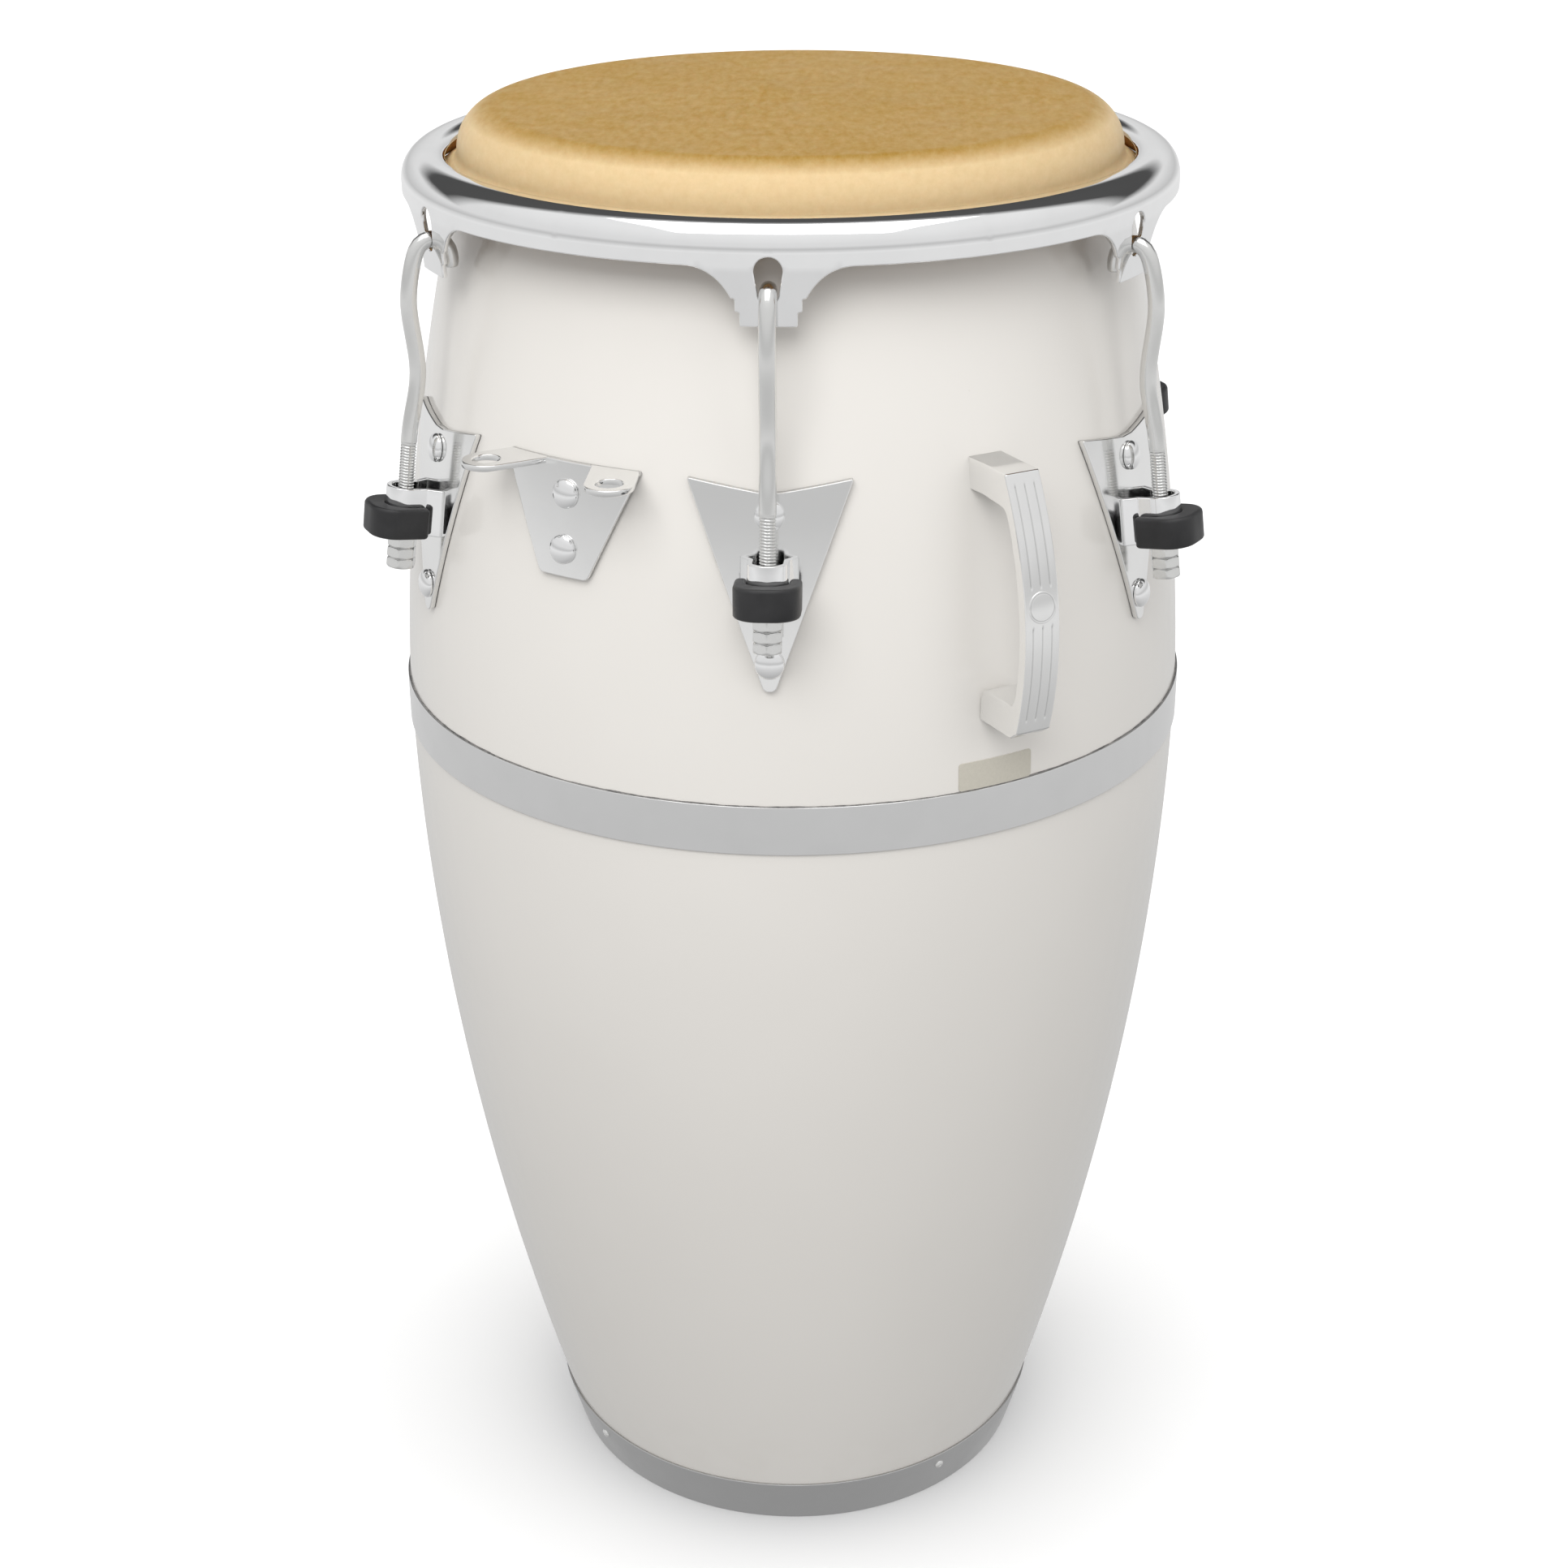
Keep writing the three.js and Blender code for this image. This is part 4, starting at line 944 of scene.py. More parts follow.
def rim_curve():
    """The rim's outer surface from the ears' feet up over the top to the lip: height, radius, facing."""
    corner_r, corner_z = RIM_OUTER - RIM_ROUND, RIM_TOP_Z - RIM_ROUND
    lip_r, lip_z = RIM_INNER + RIM_LIP_ROUND, RIM_TOP_Z - RIM_LIP_ROUND
    lean = math.degrees(math.atan2(EAR_LEAN, SKIRT_Z - EAR_BOTTOM_Z))
    line = []
    for share in np.linspace(0, 1, 14):
        z = EAR_BOTTOM_Z + share * (SKIRT_Z - 2 - EAR_BOTTOM_Z)
        line.append((RIM_OUTER - EAR_LEAN * (1 - share), z, -lean * (1 - share**3)))
    line.append((RIM_OUTER, corner_z, 0))
    line += facing_arc(corner_r, corner_z, RIM_ROUND, np.linspace(0, 90, 19)[1:])
    line += facing_arc(lip_r, lip_z, RIM_LIP_ROUND, np.linspace(90, 168, 14))
    line = np.array(line)
    steps = np.hypot(np.diff(line[:, 0]), np.diff(line[:, 1]))
    return np.concatenate([[0], np.cumsum(steps)]), line


def make_rim():
    length, line = rim_curve()

    def height(z):
        return float(np.interp(z, line[:14, 1], length[:14]))

    def place(u, v, w):
        r, z = np.interp(v, length, line[:, 0]), np.interp(v, length, line[:, 1])
        facing = np.radians(np.interp(v, length, line[:, 2]))
        depth = w - RIM_SHEET
        r, z, turn = r + depth * np.cos(facing), z + depth * np.sin(facing), u / RIM_OUTER
        return circle(r, turn, z)

    half = RIM_OUTER * math.pi / LUG_COUNT
    skirt, top = height(SKIRT_Z), float(length[-1])
    step, neck = height(EAR_BOTTOM_Z + EAR_STEP_HEIGHT), height(EAR_BOTTOM_Z + EAR_NECK_HEIGHT)
    share = np.linspace(0, 1, 12)
    bend_u = (1 - share) ** 2 * EAR_NECK + 2 * share * (1 - share) * EAR_BEND + share**2 * EAR_ROOT
    bend_v = (1 - share) ** 2 * neck + (2 * share * (1 - share) + share**2) * skirt
    steps = rounded(
        [(0, 0), (EAR_FOOT, 0), (EAR_FOOT, step), (EAR_STEP, step), (EAR_STEP, neck), (EAR_NECK, neck)],
        0.9,
        3,
        closed=False,
    )
    right = [*steps[1:-1], *zip(bend_u, bend_v), (half, skirt)]
    outline = [*right, (half, top), (-half, top), *[(-u, v) for u, v in reversed(right)]]
    hook_z = DRUM_HEIGHT - ROD_HOOK_DEPTH
    seat, wide = height(hook_z - 0.9), height(hook_z + SLOT_TOP_ABOVE_HOOK - SLOT_HALF_WIDTH)
    slot = [*arc(0, seat, 4.7, 180, 360, 12), *arc(0, wide, SLOT_HALF_WIDTH, 0, 180, 14)]
    sector = sheet(outline, place, RIM_SHEET, 2.6, 0.7, [slot], seams=half)
    shapes = [moved(sector, turned_by(azimuth)) for azimuth in TURNS]
    points, faces = joined(*shapes)
    normals = np.concatenate([shape[2] for shape in shapes])
    add("tension_rim_pressed", (points, faces, normals), "chrome", "tension_rim", "rim")


# ---- Lugs ----


def between(s, start, end, a, b):
    return (end - s) / (end - start) * a + (s - start) / (end - start) * b


def catmull(points, per_span):
    """A smooth curve through points, with its speed eased by the distance between them."""
    points = np.array(points, float)
    ends = [2 * points[0] - points[1], *points, 2 * points[-1] - points[-2]]
    out = []
    for p0, p1, p2, p3 in zip(ends, ends[1:], ends[2:], ends[3:]):
        t = [0.0]
        for a, b in ((p0, p1), (p1, p2), (p2, p3)):
            t.append(t[-1] + max(np.linalg.norm(b - a), 1e-6) ** 0.5)
        for s in np.linspace(t[1], t[2], per_span, endpoint=False):
            spans = enumerate(((p0, p1), (p1, p2), (p2, p3)))
            near = [between(s, t[k], t[k + 1], a, b) for k, (a, b) in spans]
            far = [between(s, t[k], t[k + 2], near[k], near[k + 1]) for k in (0, 1)]
            out.append(between(s, t[1], t[2], *far))
    out.append(points[-1])
    return np.array(out)


def rod_radius_at(z):
    return ROD_FOOT_RADIUS + (COLLAR_Z - z) * math.tan(COLLAR_LEAN)


def rod_line():
    """The rod's middle line in (radius, height), evenly stepped."""
    hook_z = DRUM_HEIGHT - ROD_HOOK_DEPTH - ROD_HOOK_RADIUS
    hook_r = RIM_OUTER - RIM_SHEET / 2 - EAR_LEAN / 2
    collar_top = COLLAR_Z + COLLAR_HEIGHT / 2
    drop = hook_z - collar_top
    bow_z, waist_z, straight_z = (
        hook_z - drop * share for share in (ROD_BOW_SHARE, ROD_WAIST_SHARE, ROD_STRAIGHT_SHARE)
    )
    end_z = DRUM_HEIGHT - ROD_END_DEPTH
    route = [
        (hook_r - ROD_HOOK_RADIUS, hook_z - ROD_TAIL),
        *arc(hook_r, hook_z, ROD_HOOK_RADIUS, 180, 15, 5),
        (hook_r + ROD_BOW, bow_z),
        ((hook_r + ROD_HOOK_RADIUS + rod_radius_at(waist_z)) / 2, waist_z),
        (rod_radius_at(straight_z), straight_z),
        (rod_radius_at(collar_top), collar_top),
        (rod_radius_at(end_z), end_z),
    ]
    fine = catmull(route, 40)
    length = np.concatenate([[0], np.cumsum(np.linalg.norm(np.diff(fine, axis=0), axis=1))])
    even = np.arange(0, length[-1], THREAD_PITCH / 6)
    return np.stack([np.interp(even, length, fine[:, k]) for k in (0, 1)], -1)


def rod_shape():
    line = rod_line()
    angles = around(24)
    ahead = np.gradient(line, axis=0)
    ahead /= np.linalg.norm(ahead, axis=1)[:, None]
    normal = np.stack([ahead[:, 1], -ahead[:, 0]], -1)
    length = np.arange(len(line)) * THREAD_PITCH / 6
    start = length[np.argmin(np.abs(line[:, 1] - (DRUM_HEIGHT - THREAD_TOP_DEPTH)) + 100 * (length < 40))]
    rings = []
    keep = length >= start - 3
    keep[::12] = True
    keep[:4] = True
    for i in np.flatnonzero(keep):
        phase = (length[i] / THREAD_PITCH + angles / (2 * math.pi)) % 1
        ridge = np.abs(2 * phase - 1)
        fade = min(1, max(0, (length[i] - start) / 2.5))
        radius = ROD_RADIUS - 0.06 - THREAD_DEPTH * fade * ridge
        tip = min(length[i], length[-1] - length[i])
        radius = radius - max(0, 1.1 - tip) * 0.8
        out = np.cos(angles) * radius
        r = line[i, 0] + out * normal[i, 0]
        z = line[i, 1] + out * normal[i, 1]
        rings.append(np.stack([np.sin(angles) * radius, -r, z], -1))
    return loft(rings)


def plate_corners():
    """The plate's corners, each with its radius of round."""
    tip_z, notch_z = PLATE_TOP_Z - PLATE_HEIGHT, PLATE_TOP_Z - PLATE_NOTCH
    return [
        (-2.6, tip_z, 4.5),
        (2.6, tip_z, 4.5),
        (PLATE_HALF_WIDTH, PLATE_TOP_Z, 0.8),
        (PLATE_NOTCH_HALF_WIDTH, notch_z, 0.8),
        (-PLATE_NOTCH_HALF_WIDTH, notch_z, 0.8),
        (-PLATE_HALF_WIDTH, PLATE_TOP_Z, 0.8),
    ]


def strap_shape():
    """The collar: a steel strap bent round the rod, its ends flared out against the plate."""
    middle = COLLAR_RADIUS - COLLAR_SHEET / 2
    wide = COLLAR_RADIUS + COLLAR_FLARE - COLLAR_SHEET / 2
    end = ROD_STANDOFF + 0.8
    bend = ROD_STANDOFF - COLLAR_FLARE - 3.4
    side = [(wide + 1.2, end), (wide - 0.6, end - 3.2), (middle, bend), (middle, 0)]
    right = rounded(side, 3.2, 5, closed=False)
    path = [*right, *arc(0, 0, middle, 0, -180, 24)[1:], *[(-x, y) for x, y in reversed(right)][1:]]
    path = divided(path, 1.5, closed=False)
    ahead = np.gradient(path, axis=0)
    ahead /= np.linalg.norm(ahead, axis=1)[:, None]
    across = np.stack([-ahead[:, 1], ahead[:, 0]], -1)
    t, h = COLLAR_SHEET / 2, COLLAR_HEIGHT / 2
    section = divided(rounded([(-t, -h), (t, -h), (t, h), (-t, h)], 0.6, 3), 4)
    rings = [
        np.stack([p[0] + section[:, 0] * a[0], p[1] + section[:, 0] * a[1], section[:, 1]], -1)
        for p, a in zip(path, across)
    ]
    return loft(rings)


def bumper_shape():
    inner = COLLAR_RADIUS + 0.05
    w, rear, front = BUMPER_HALF_WIDTH, BUMPER_REAR, -BUMPER_REACH
    corners = [
        (-inner, 0, 0),
        (-inner, rear, 2.4),
        (-w, rear, 2.4),
        (-w, front, 12.5),
        (w, front, 12.5),
        (w, rear, 2.4),
        (inner, rear, 2.4),
        (inner, 0, 0),
    ]
    outline = [*rounded(corners, None, 8, closed=False), *arc(0, 0, inner, 0, -180, 24)[1:-1]]
    place = placed(ROD_FRAME, -COLLAR_HEIGHT / 2 - BUMPER_DROP)
    return sheet(outline, place, BUMPER_HEIGHT, 2.5, 1.9, rounds=6)


def hex_rings(levels, half_flats, samples=96):
    """Rings of a hexagon whose corners are turned down to each level's radius."""
    angles = around(samples)
    face = (angles + math.pi / 6) % (math.pi / 3) - math.pi / 6
    hexagon = half_flats / np.cos(face)
    rings = []
    for limit, z in levels:
        radius = np.minimum(hexagon, limit) if limit > half_flats * 0.8 else np.full(samples, limit)
        rings.append(np.stack([radius * np.cos(angles), radius * np.sin(angles), np.full(samples, z)], -1))
    return rings


def nut_levels(bottom, length, half_flats, bore, sections):
    corner = half_flats / math.cos(math.pi / 6)
    levels = [(bore, bottom + 0.6), (bore + 0.5, bottom)]
    levels += [(half_flats - 1.6, bottom), (half_flats - 0.2, bottom + 0.7)]
    each = length / sections
    for k in range(sections):
        low, high = bottom + k * each, bottom + (k + 1) * each
        round_low = 2.0 if k == 0 else 0.95
        levels += [
            (half_flats + 0.05, low + 0.25 * round_low),
            (half_flats + (corner - half_flats) * 0.7, low + 0.6 * round_low),
            (corner, low + round_low),
            (corner, (low + high) / 2),
            (corner, high - 0.95),
            (half_flats + (corner - half_flats) * 0.7, high - 0.5),
            (half_flats + 0.02, high - 0.25),
        ]
        if k < sections - 1:
            levels.append((half_flats - 0.5, high))
    top = bottom + length
    return levels + [(half_flats - 0.6, top), (bore + 0.5, top), (bore, top - 0.6)]


def nut_shape(bottom, length, half_flats, bore, sections=1):
    return loft(hex_rings(nut_levels(bottom, length, half_flats, bore, sections), half_flats), close=True)


def washer_shape(bottom, top, bore, radius, segments=64):
    corners = [(bore, bottom), (radius, bottom), (radius, top), (bore, top)]
    return turned(rounded(corners, 0.3, 3), segments)


def bolt_shape():
    """A domed bolt head with a thin foot, and its shank through the plate and the shell."""
    dome = [
        (BOLT_HEAD_RADIUS * math.cos(a), 0.7 + (BOLT_HEAD_HEIGHT - 0.7) * math.sin(a))
        for a in np.radians(np.linspace(8, 90, 14))
    ]
    dome[-1] = (0, BOLT_HEAD_HEIGHT)
    foot = [(BOLT_HEAD_RADIUS - 0.5, 0), (BOLT_HEAD_RADIUS - 0.1, 0.2), (BOLT_HEAD_RADIUS, 0.7)]
    tail = -(PLATE_THICKNESS + SHELL_WALL + BOLT_TAIL)
    profile = [(0, tail), (BOLT_SHANK_RADIUS - 0.6, tail), (BOLT_SHANK_RADIUS, tail + 0.6)]
    thread = np.arange(tail + 1, -PLATE_THICKNESS - SHELL_WALL + 1, 0.5)
    profile += [(BOLT_SHANK_RADIUS - 0.45 * (i % 2), z) for i, z in enumerate(thread)]
    profile += [(BOLT_SHANK_RADIUS, 0), *foot, *dome]
    return turned(profile, 48, close=False)


def inside_fixings(azimuth, z):
    """The washer and the nut on a bolt's tail inside the shell."""
    seat = on_shell(azimuth, z, -SHELL_WALL - 0.1)
    washer = washer_shape(-1.3, 0, BOLT_SHANK_RADIUS + 0.1, 8)
    nut = nut_shape(-6.4, 5, 5, BOLT_SHANK_RADIUS - 0.1)
    return joined(moved(washer, seat), moved(nut, seat))


def add_bolt(name, inner_name, node, azimuth, depth):
    z = DRUM_HEIGHT - depth
    add(name, moved(bolt_shape(), on_shell(azimuth, z, BOLT_SEAT)), "chrome", node)
    add(inner_name, inside_fixings(azimuth, z), "rod")


def bolt_holes(depths):
    return [arc(0, DRUM_HEIGHT - depth, 3.4, 0, 345, 23) for depth in depths]


# A thin dark gasket under a plate; its darkness is also painted shade for the shadow line between the plate
# and the shell.
def gasket_and_shade_line_shape(outline, azimuth=0):
    return sheet(inset_outline(outline, 0.35), shell_place(0.02, azimuth), 0.35, 4, 0.12, rounds=2)


def make_lug(number, azimuth):
    turn = turned_by(azimuth)
    plate = rounded(plate_corners(), None, 5)
    # The dark gasket is partly a gasket and partly painted shade for the shadow line under the plate.
    add(f"plate_gasket_shade_line_{number}", moved(gasket_and_shade_line_shape(plate), turn), "sealant")
    holes = bolt_holes((UPPER_BOLT_DEPTH, LOWER_BOLT_DEPTH))
    shape = sheet(plate, shell_place(CLEARANCE + 0.1), PLATE_THICKNESS - 0.1, 2.5, 0.55, holes)
    add(f"side_plate_fine_{number}", moved(shape, turn), "plate_chrome", f"side_plate_{number}")
    collar = moved(moved(strap_shape(), ROD_FRAME), turn)
    add(f"collar_strap_{number}", collar, "chrome")
    add(f"bumper_fine_{number}", moved(bumper_shape(), turn), "rubber", f"rubber_bumper_{number}")
    add(f"rod_fine_{number}", moved(rod_shape(), turn), "rod", f"tuning_rod_{number}", f"rod_{number}")
    top = -COLLAR_HEIGHT / 2
    washer = washer_shape(top - WASHER_THICKNESS, top, ROD_RADIUS + 0.4, WASHER_RADIUS)
    washer = moved(moved(washer, ROD_FRAME), turn)
    add(f"washer_fine_{number}", washer, "rod", f"nut_washer_{number}")
    low = top - WASHER_THICKNESS - 2 * CLEARANCE - NUT_LENGTH
    nut = nut_shape(low, NUT_LENGTH + CLEARANCE, NUT_HALF_FLATS, ROD_RADIUS + 0.02, NUT_SECTIONS)
    nut = moved(moved(nut, ROD_FRAME), turn)
    add(f"nut_fine_{number}", nut, "rod", f"tuning_nut_{number}", f"nut_{number}")
    for place, depth in (("upper", UPPER_BOLT_DEPTH), ("lower", LOWER_BOLT_DEPTH)):
        names = (f"{place}_bolt_fine_{number}", f"{place}_inner_nut_{number}", f"{place}_bolt_{number}")
        add_bolt(*names, azimuth, depth)


def inset_outline(loop, amount):
    loop = np.array(loop, float)
    loop = loop if signed_area(loop) > 0 else loop[::-1]
    return [tuple(p) for p in inset(loop, np.full(len(loop), amount))]


# ---- Handle ----

GROOVE_PLACES = (-5.0, 0.0, 5.0)
GROOVE_HALF_WIDTH = 0.55
GROOVE_DEPTH = 0.5
GROOVE_STEPS = (-0.75, -0.42, -0.25, 0.0, 0.25, 0.42, 0.75)
MEDALLION_RADIUS = 7.4


def grip_radius(z):
    share = (z - (HANDLE_TOP_Z + HANDLE_BOTTOM_Z) / 2) / (HANDLE_LENGTH / 2)
    return shell_radius(z) + HANDLE_REACH - HANDLE_BOW * share**2


def make_handle():
    chin = HANDLE_BOTTOM_Z + HANDLE_CHIN
    chin_r = float(grip_radius(chin))
    middle = (HANDLE_TOP_Z + HANDLE_BOTTOM_Z) / 2 + 4
    front_z = np.linspace(chin, HANDLE_TOP_Z, 150)
    foot_r = float(shell_radius(HANDLE_TOP_Z)) + 0.1
    low_r = float(shell_radius(HANDLE_BOTTOM_Z)) + 0.1
    under, over = HANDLE_TOP_Z - HANDLE_TOP_FOOT, HANDLE_BOTTOM_Z + HANDLE_BOTTOM_FOOT
    back_z = np.linspace(under - 7, over + 6, 40)
    back = [(float(grip_radius(z)) - HANDLE_GRIP_THICKNESS, z) for z in back_z]
    top_arm = rounded(
        [(foot_r, under), (foot_r + 12, under + 0.6), (float(grip_radius(under)) - 7, under - 1), back[0]],
        7,
        8,
        closed=False,
    )
    low_arm = rounded(
        [back[-1], (float(grip_radius(over)) - 8, over), (low_r + 3, over + 0.5), (low_r, over - 6)],
        5,
        8,
        closed=False,
    )
    bottom = rounded(
        [(low_r, HANDLE_BOTTOM_Z), (chin_r - 5.5, HANDLE_BOTTOM_Z), (chin_r, chin)],
        3,
        6,
        closed=False,
    )
    front = [(float(grip_radius(z)), z) for z in front_z]
    loop = [*bottom, *front[1:], (foot_r, HANDLE_TOP_Z), *top_arm, *back[1:-1], *low_arm]
    loop = np.array(loop)
    if signed_area(loop) < 0:
        loop = loop[::-1]
    on_grip = np.abs(loop[:, 0] - grip_radius(loop[:, 1])) < 0.02
    is_front = on_grip & (loop[:, 1] > chin - 0.1) & (loop[:, 1] < HANDLE_TOP_Z + 0.1)
    half, edge = HANDLE_WIDTH / 2, 0.9
    steps = [math.radians(22.5 * k) for k in range(5)]
    widths = [-half + edge * (1 - math.cos(a)) for a in steps]
    insets = [edge * (1 - math.sin(a)) for a in steps]
    for place in GROOVE_PLACES:
        widths += [place + step for step in GROOVE_STEPS]
        insets += [0.0] * len(GROOVE_STEPS)
    widths += [-w for w in reversed(widths[:5])]
    insets += list(reversed(insets[:5]))
    rows = []
    top_end, low_end = HANDLE_TOP_Z - 4.5, chin + 6
    for w, amount in zip(widths, insets):
        ring = inset(loop, np.full(len(loop), amount))
        near = min(abs(w - place) for place in GROOVE_PLACES)
        depth = GROOVE_DEPTH * float(np.clip((GROOVE_HALF_WIDTH - near) / 0.25, 0, 1))
        if depth:
            z = loop[:, 1]
            gate = np.clip((top_end - z) / 0.8, 0, 1) * np.clip((z - low_end) / 0.8, 0, 1)
            gate *= np.clip((np.abs(z - middle) - MEDALLION_RADIUS - 1.2) / 0.8, 0, 1)
            pulled = inset(loop, np.full(len(loop), depth))
            ring = np.where(is_front[:, None], ring + (pulled - loop) * gate[:, None], ring)
        rows.append(ring)
    points = np.array([[(r, w, z) for r, z in ring] for ring, w in zip(rows, widths)])
    body, faces = loft(points, caps=False)
    count = len(loop)
    capped = []
    ends = ((rows[0], widths[0], 0, True), (rows[-1], widths[-1], (len(rows) - 1) * count, False))
    for ring, w, start, flip in ends:
        flat, triangles = filled([ring], 3)
        extra = np.array([(r, w, z) for r, z in flat[count:]]).reshape(-1, 3)
        offset = len(body)
        ids = np.concatenate([np.arange(start, start + count), np.arange(offset, offset + len(extra))])
        body = np.concatenate([body, extra])
        capped += [tuple(ids[list(t)]) if flip else tuple(ids[list(t)][::-1]) for t in triangles]
    faces = outward(body, faces) + capped
    work = bmesh.new()
    verts = [work.verts.new(p) for p in body]
    for face in faces:
        if len(set(int(i) for i in face)) == len(face):
            work.faces.new([verts[int(i)] for i in face])
    bmesh.ops.recalc_face_normals(work, faces=work.faces)
    work.verts.index_update()
    faces = [tuple(v.index for v in f.verts) for f in work.faces]
    work.free()
    a = math.radians(HANDLE_AZIMUTH)
    out, side = np.array([math.sin(a), -math.cos(a)]), np.array([math.cos(a), math.sin(a)])
    spread = body[:, :1] * out[None] + body[:, 1:2] * side[None]
    shape = (np.concatenate([spread, body[:, 2:]], 1), faces)
    add("handle_fine", shape, "casting", "carry_handle")
    medallion(middle, out, side)
    for place, z in (
        ("upper", HANDLE_TOP_Z - HANDLE_TOP_FOOT / 2),
        ("lower", HANDLE_BOTTOM_Z + HANDLE_BOTTOM_FOOT / 2),
    ):
        head = [(0, -1), (1.6, -1), (2.0, -2.6), (4.2, -2.2), (5, -0.8), (5, 0), (2.5, 0), (2.5, 12), (0, 13)]
        shape = moved(turned(head, 40, close=False), on_shell(HANDLE_AZIMUTH, z, -SHELL_WALL - 0.1))
        add(f"handle_screw_fine_{place}", shape, "rod", f"handle_screw_{place}")


def medallion(middle, out, side):
    """A plain raised disc with a ring cut in it, lying on the grip's curve."""
    face = [(0, 0.30), (5.9, 0.30), (6.15, 0.02), (6.45, 0.02), (6.7, 0.30), (7.15, 0.26)]
    profile = [*face, (MEDALLION_RADIUS, -0.1), (MEDALLION_RADIUS, -0.8), (0, -0.8)]
    rings = []
    angles = around(72)
    for r, h in profile:
        z = middle + r * np.sin(angles)
        radius = grip_radius(z) + h
        flat = radius[:, None] * out[None] + (r * np.cos(angles))[:, None] * side[None]
        rings.append(np.concatenate([flat, z[:, None]], 1))
    add("handle_medallion", loft(rings, caps=False), "casting")


# ---- Stand bracket ----


def make_bracket():
    foot = PLATE_TOP_Z - BRACKET_HEIGHT
    corners = [
        (-BRACKET_FOOT_HALF_WIDTH, foot, 3.5),
        (BRACKET_FOOT_HALF_WIDTH, foot, 3.5),
        (BRACKET_TOP_HALF_WIDTH, PLATE_TOP_Z, 1.5),
        (-BRACKET_TOP_HALF_WIDTH, PLATE_TOP_Z, 1.5),
    ]
    outline = rounded(corners, None, 5)
    holes = bolt_holes(BRACKET_BOLT_DEPTHS)
    # The dark gasket is partly a gasket and partly painted shade for the shadow line under the bracket.
    add("bracket_gasket_shade_line", gasket_and_shade_line_shape(outline, BRACKET_AZIMUTH), "sealant")
    place = shell_place(CLEARANCE + 0.1, BRACKET_AZIMUTH)
    plate = sheet(outline, place, PLATE_THICKNESS - 0.1, 2.5, 0.6, holes)
    add("bracket_plate", plate, "plate_chrome", "stand_bracket")
    for name, side in (("left", -1), ("right", 1)):
        add(f"bracket_ear_{name}", stand_ear(side), "plate_chrome")
    for name, depth in zip(("upper", "lower"), BRACKET_BOLT_DEPTHS):
        names = (f"bracket_bolt_fine_{name}", f"bracket_inner_nut_{name}", f"bracket_bolt_{name}")
        add_bolt(*names, BRACKET_AZIMUTH, depth)


def stand_ear(side):
    """An ear bent out from the plate's top, with a round end and a hole for the stand's bolt."""
    root = float(shell_radius(PLATE_TOP_Z)) + PLATE_THICKNESS
    buried = root - 1.6
    root_y = -math.sqrt(root**2 - STAND_EAR_ROOT**2)
    splay = side * math.radians(STAND_EAR_SPLAY)
    origin = np.array([side * STAND_EAR_ROOT, root_y])
    across = np.array([math.cos(splay), math.sin(splay)])
    along = np.array([-math.sin(splay), math.cos(splay)])
    edge = []
    for u in np.linspace(STAND_EAR_HALF_WIDTH, -STAND_EAR_HALF_WIDTH, 7):
        start = origin + u * across
        b, c = np.dot(start, along), np.dot(start, start) - buried**2
        edge.append((u, -b - math.sqrt(b * b - c)))
    outline = [*arc(0, -STAND_EAR_LENGTH, STAND_EAR_HALF_WIDTH, 180, 360, 24), *edge]
    hole = arc(0, -STAND_EAR_LENGTH, EAR_HOLE_RADIUS, 0, 350, 35)
    matrix = (
        turned_by(BRACKET_AZIMUTH)
        @ Matrix.Translation((side * STAND_EAR_ROOT, root_y, PLATE_TOP_Z - PLATE_THICKNESS))
        @ Matrix.Rotation(splay, 4, "Z")
    )
    return sheet(outline, placed(matrix), PLATE_THICKNESS, 2.5, 0.8, [hole])


make_shell()
make_belly_band()
make_foot()
make_label()
make_head()
make_hoop()
make_rim()
for number, azimuth in enumerate(TURNS, start=1):
    make_lug(number, azimuth)
make_handle()
make_bracket()

# ---- Camera, floor and light ----

CAMERA_TURN = 3.2
CAMERA_PLACE = (-4.97, -1306.1, 989.7)
CAMERA_PITCH = 24.52
CAMERA_ROLL = -0.34
CAMERA_LENS, CAMERA_SENSOR = 60.37, 36
FLOOR_REACH = 30


def make_camera():
    data = bpy.data.cameras.new("camera")
    data.lens, data.sensor_width = CAMERA_LENS, CAMERA_SENSOR
    camera = shown("camera", data)
    camera.matrix_world = (
        turned_by(CAMERA_TURN)
        @ Matrix.Translation(Vector(CAMERA_PLACE) * MM)
        @ Matrix.Rotation(math.radians(90 - CAMERA_PITCH), 4, "X")
        @ turned_by(CAMERA_ROLL)
    )
    bpy.context.scene.camera = camera


def make_floor():
    mesh = bpy.data.meshes.new("floor")
    corners = [(x * FLOOR_REACH, y * FLOOR_REACH, 0) for x, y in ((-1, -1), (1, -1), (1, 1), (-1, 1))]
    mesh.from_pydata(corners, [], [(0, 1, 2, 3)])
    n = Nodes("floor_pale")
    n.use(Base_Color=n.ramp(n.noise(3, 2), (0.3, (0.78, 0.78, 0.78)), (0.7, (0.81, 0.81, 0.81))))
    n.set(Roughness=0.8, Specular_IOR_Level=0.1)
    mesh.materials.append(n.owner)
    floor = shown("floor", mesh)
    floor.visible_diffuse = False
    floor.visible_glossy = False
    return floor


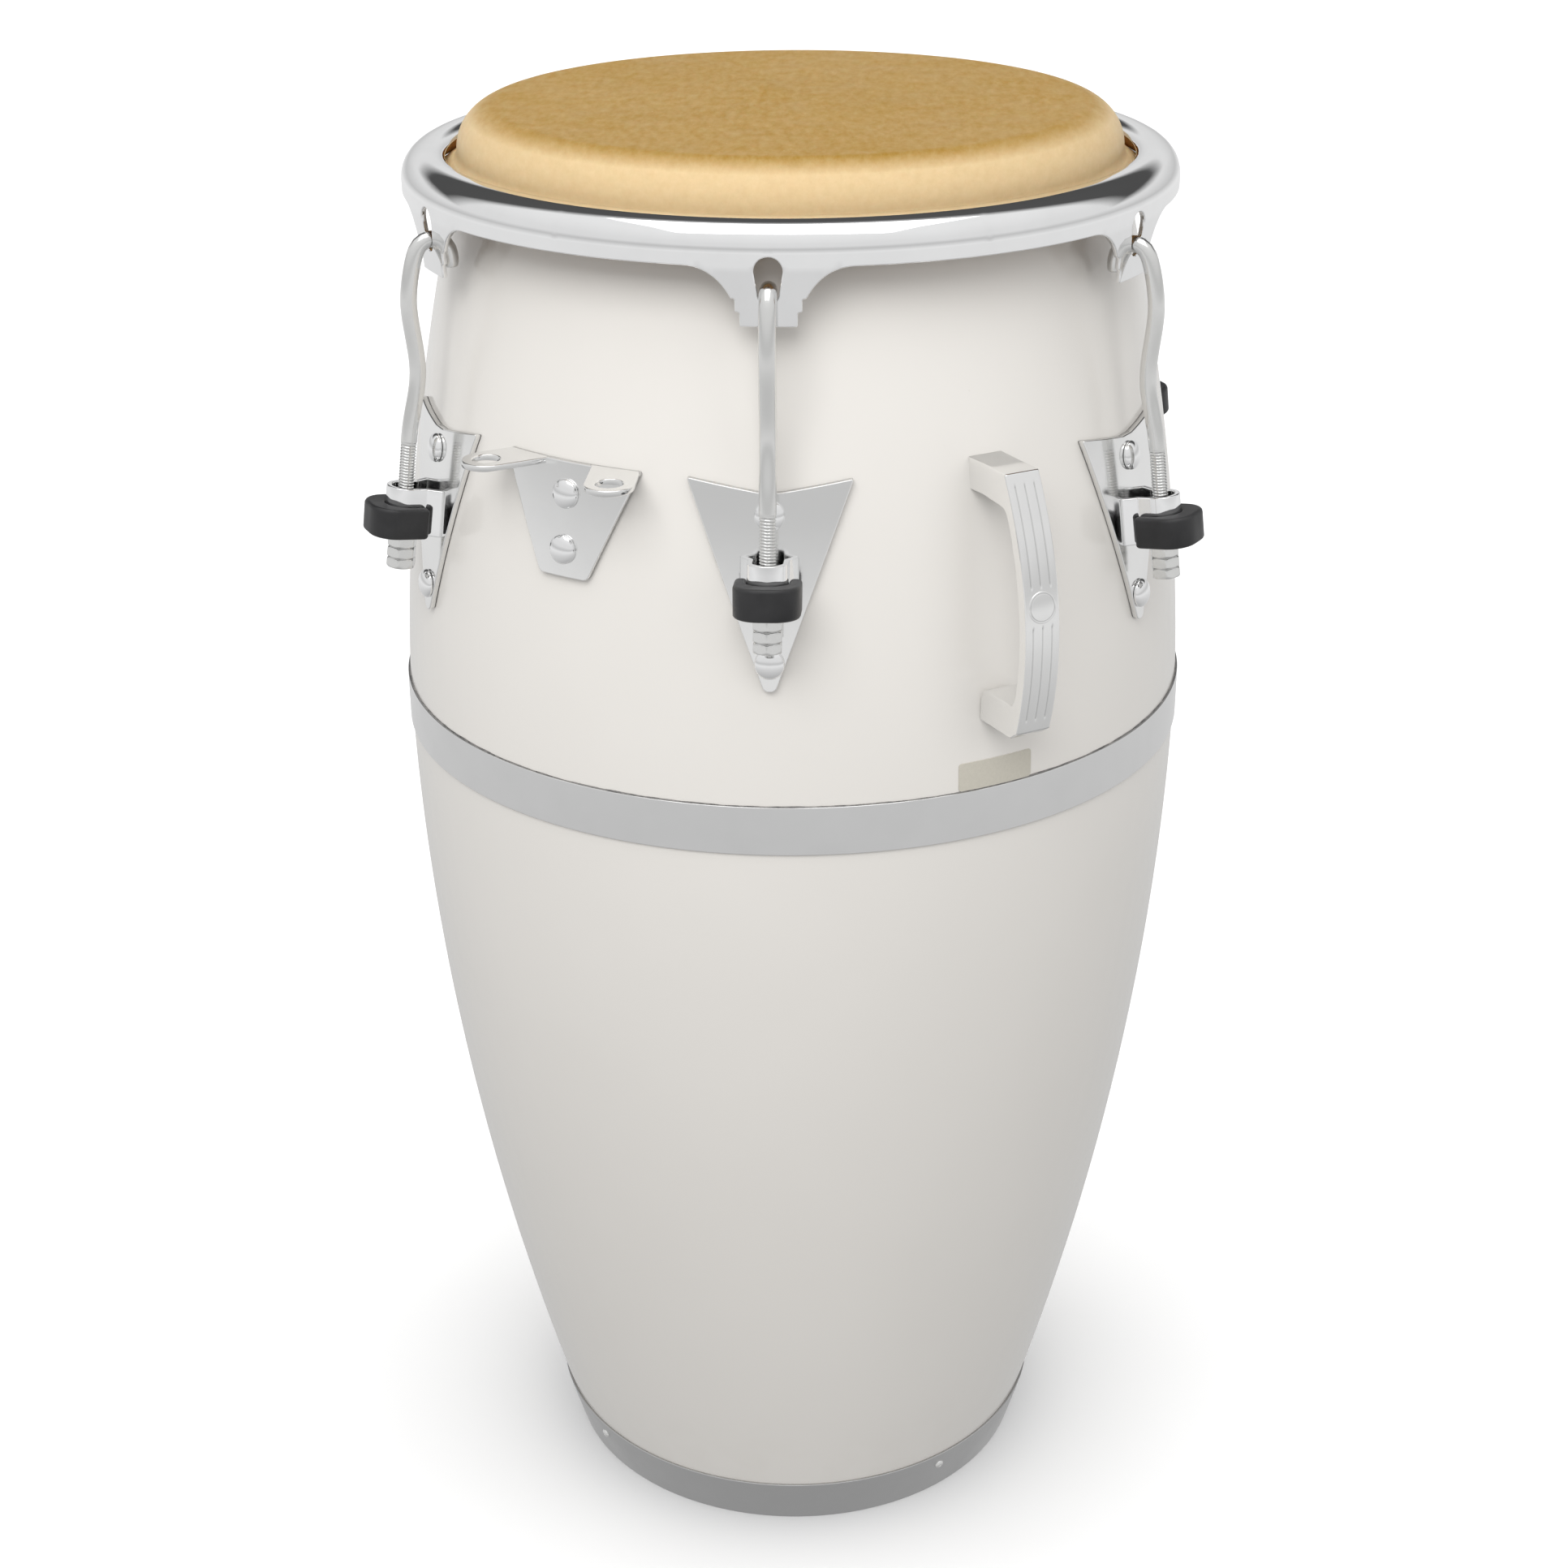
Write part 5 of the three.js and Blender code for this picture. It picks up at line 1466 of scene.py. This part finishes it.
def add_light(name, kind, place, aim, power, size, shape_y=None):
    data = bpy.data.lights.new(name, kind)
    data.energy = power
    if kind == "AREA":
        data.shape = "RECTANGLE"
        data.size, data.size_y = size, shape_y or size
    else:
        data.angle = size
    light = shown(name, data)
    light.location = place
    light.rotation_euler = (Vector(aim) - Vector(place)).to_track_quat("-Z", "Y").to_euler()
    return light


def make_world():
    """A studio: bright overhead, pale in front and below, and dark behind above eye level."""
    n = Nodes("studio", world=True)
    depth, height = (n.range(n.axis(name), -1, 1, 0, 1) for name in "YZ")
    stops = [(0.0, 0.52), (0.28, 0.76), (0.42, 0.97), (0.50, 0.66), (0.60, 0.88), (0.72, 0.90), (0.90, 1.0)]
    up = n.ramp(height, *stops)
    behind = n.ramp(depth, (0.0, 1.0), (0.66, 1.0), (0.76, 0.10), (1.0, 0.10))
    low = n.ramp(height, (0.0, 1.0), (0.62, 1.0), (0.68, 0.0), (1.0, 0.0))
    n.use(Color=n.mix(1.0, up, n.mix(1.0, behind, low, "LIGHTEN"), "MULTIPLY"))
    n.set(Strength=0.85)
    bpy.context.scene.world = n.owner


def make_lights(floor):
    middle = (0, 0, 0.45)
    studio = [
        add_light("key", "AREA", (-0.5, -2.0, 2.5), (0, 0, 0.64), 56, 2.2, 1.5),
        add_light("fill", "AREA", (2.3, -1.9, 1.9), middle, 10, 1.6, 1.6),
        add_light("overhead", "AREA", (0, -0.3, 3.2), (0, 0, 0), 26, 2.4, 2.4),
        add_light("back_fill", "AREA", (0, 2.4, 1.7), middle, 30, 2.4, 1.6),
        add_light("edge_left", "AREA", (-2.4, 0.9, 1.3), middle, 7, 0.8, 2.0),
        add_light("edge_right", "AREA", (2.4, 0.9, 1.3), middle, 7, 0.8, 2.0),
    ]
    for light in studio:
        light.visible_glossy = light.name == "overhead"
    wash = add_light("floor_wash", "SUN", (0, 0, 4), (0, 0, 0), 3.0, 1.1)
    only_floor = bpy.data.collections.new("lit_by_floor_wash")
    only_floor.objects.link(floor)
    wash.light_linking.receiver_collection = only_floor
    not_floor = bpy.data.collections.new("lit_by_studio_lights")
    not_floor.objects.link(floor)
    not_floor.collection_objects[0].light_linking.link_state = "EXCLUDE"
    for light in studio:
        light.light_linking.receiver_collection = not_floor


make_camera()
make_world()
make_lights(make_floor())
bpy.context.scene.view_settings.view_transform = "Standard"
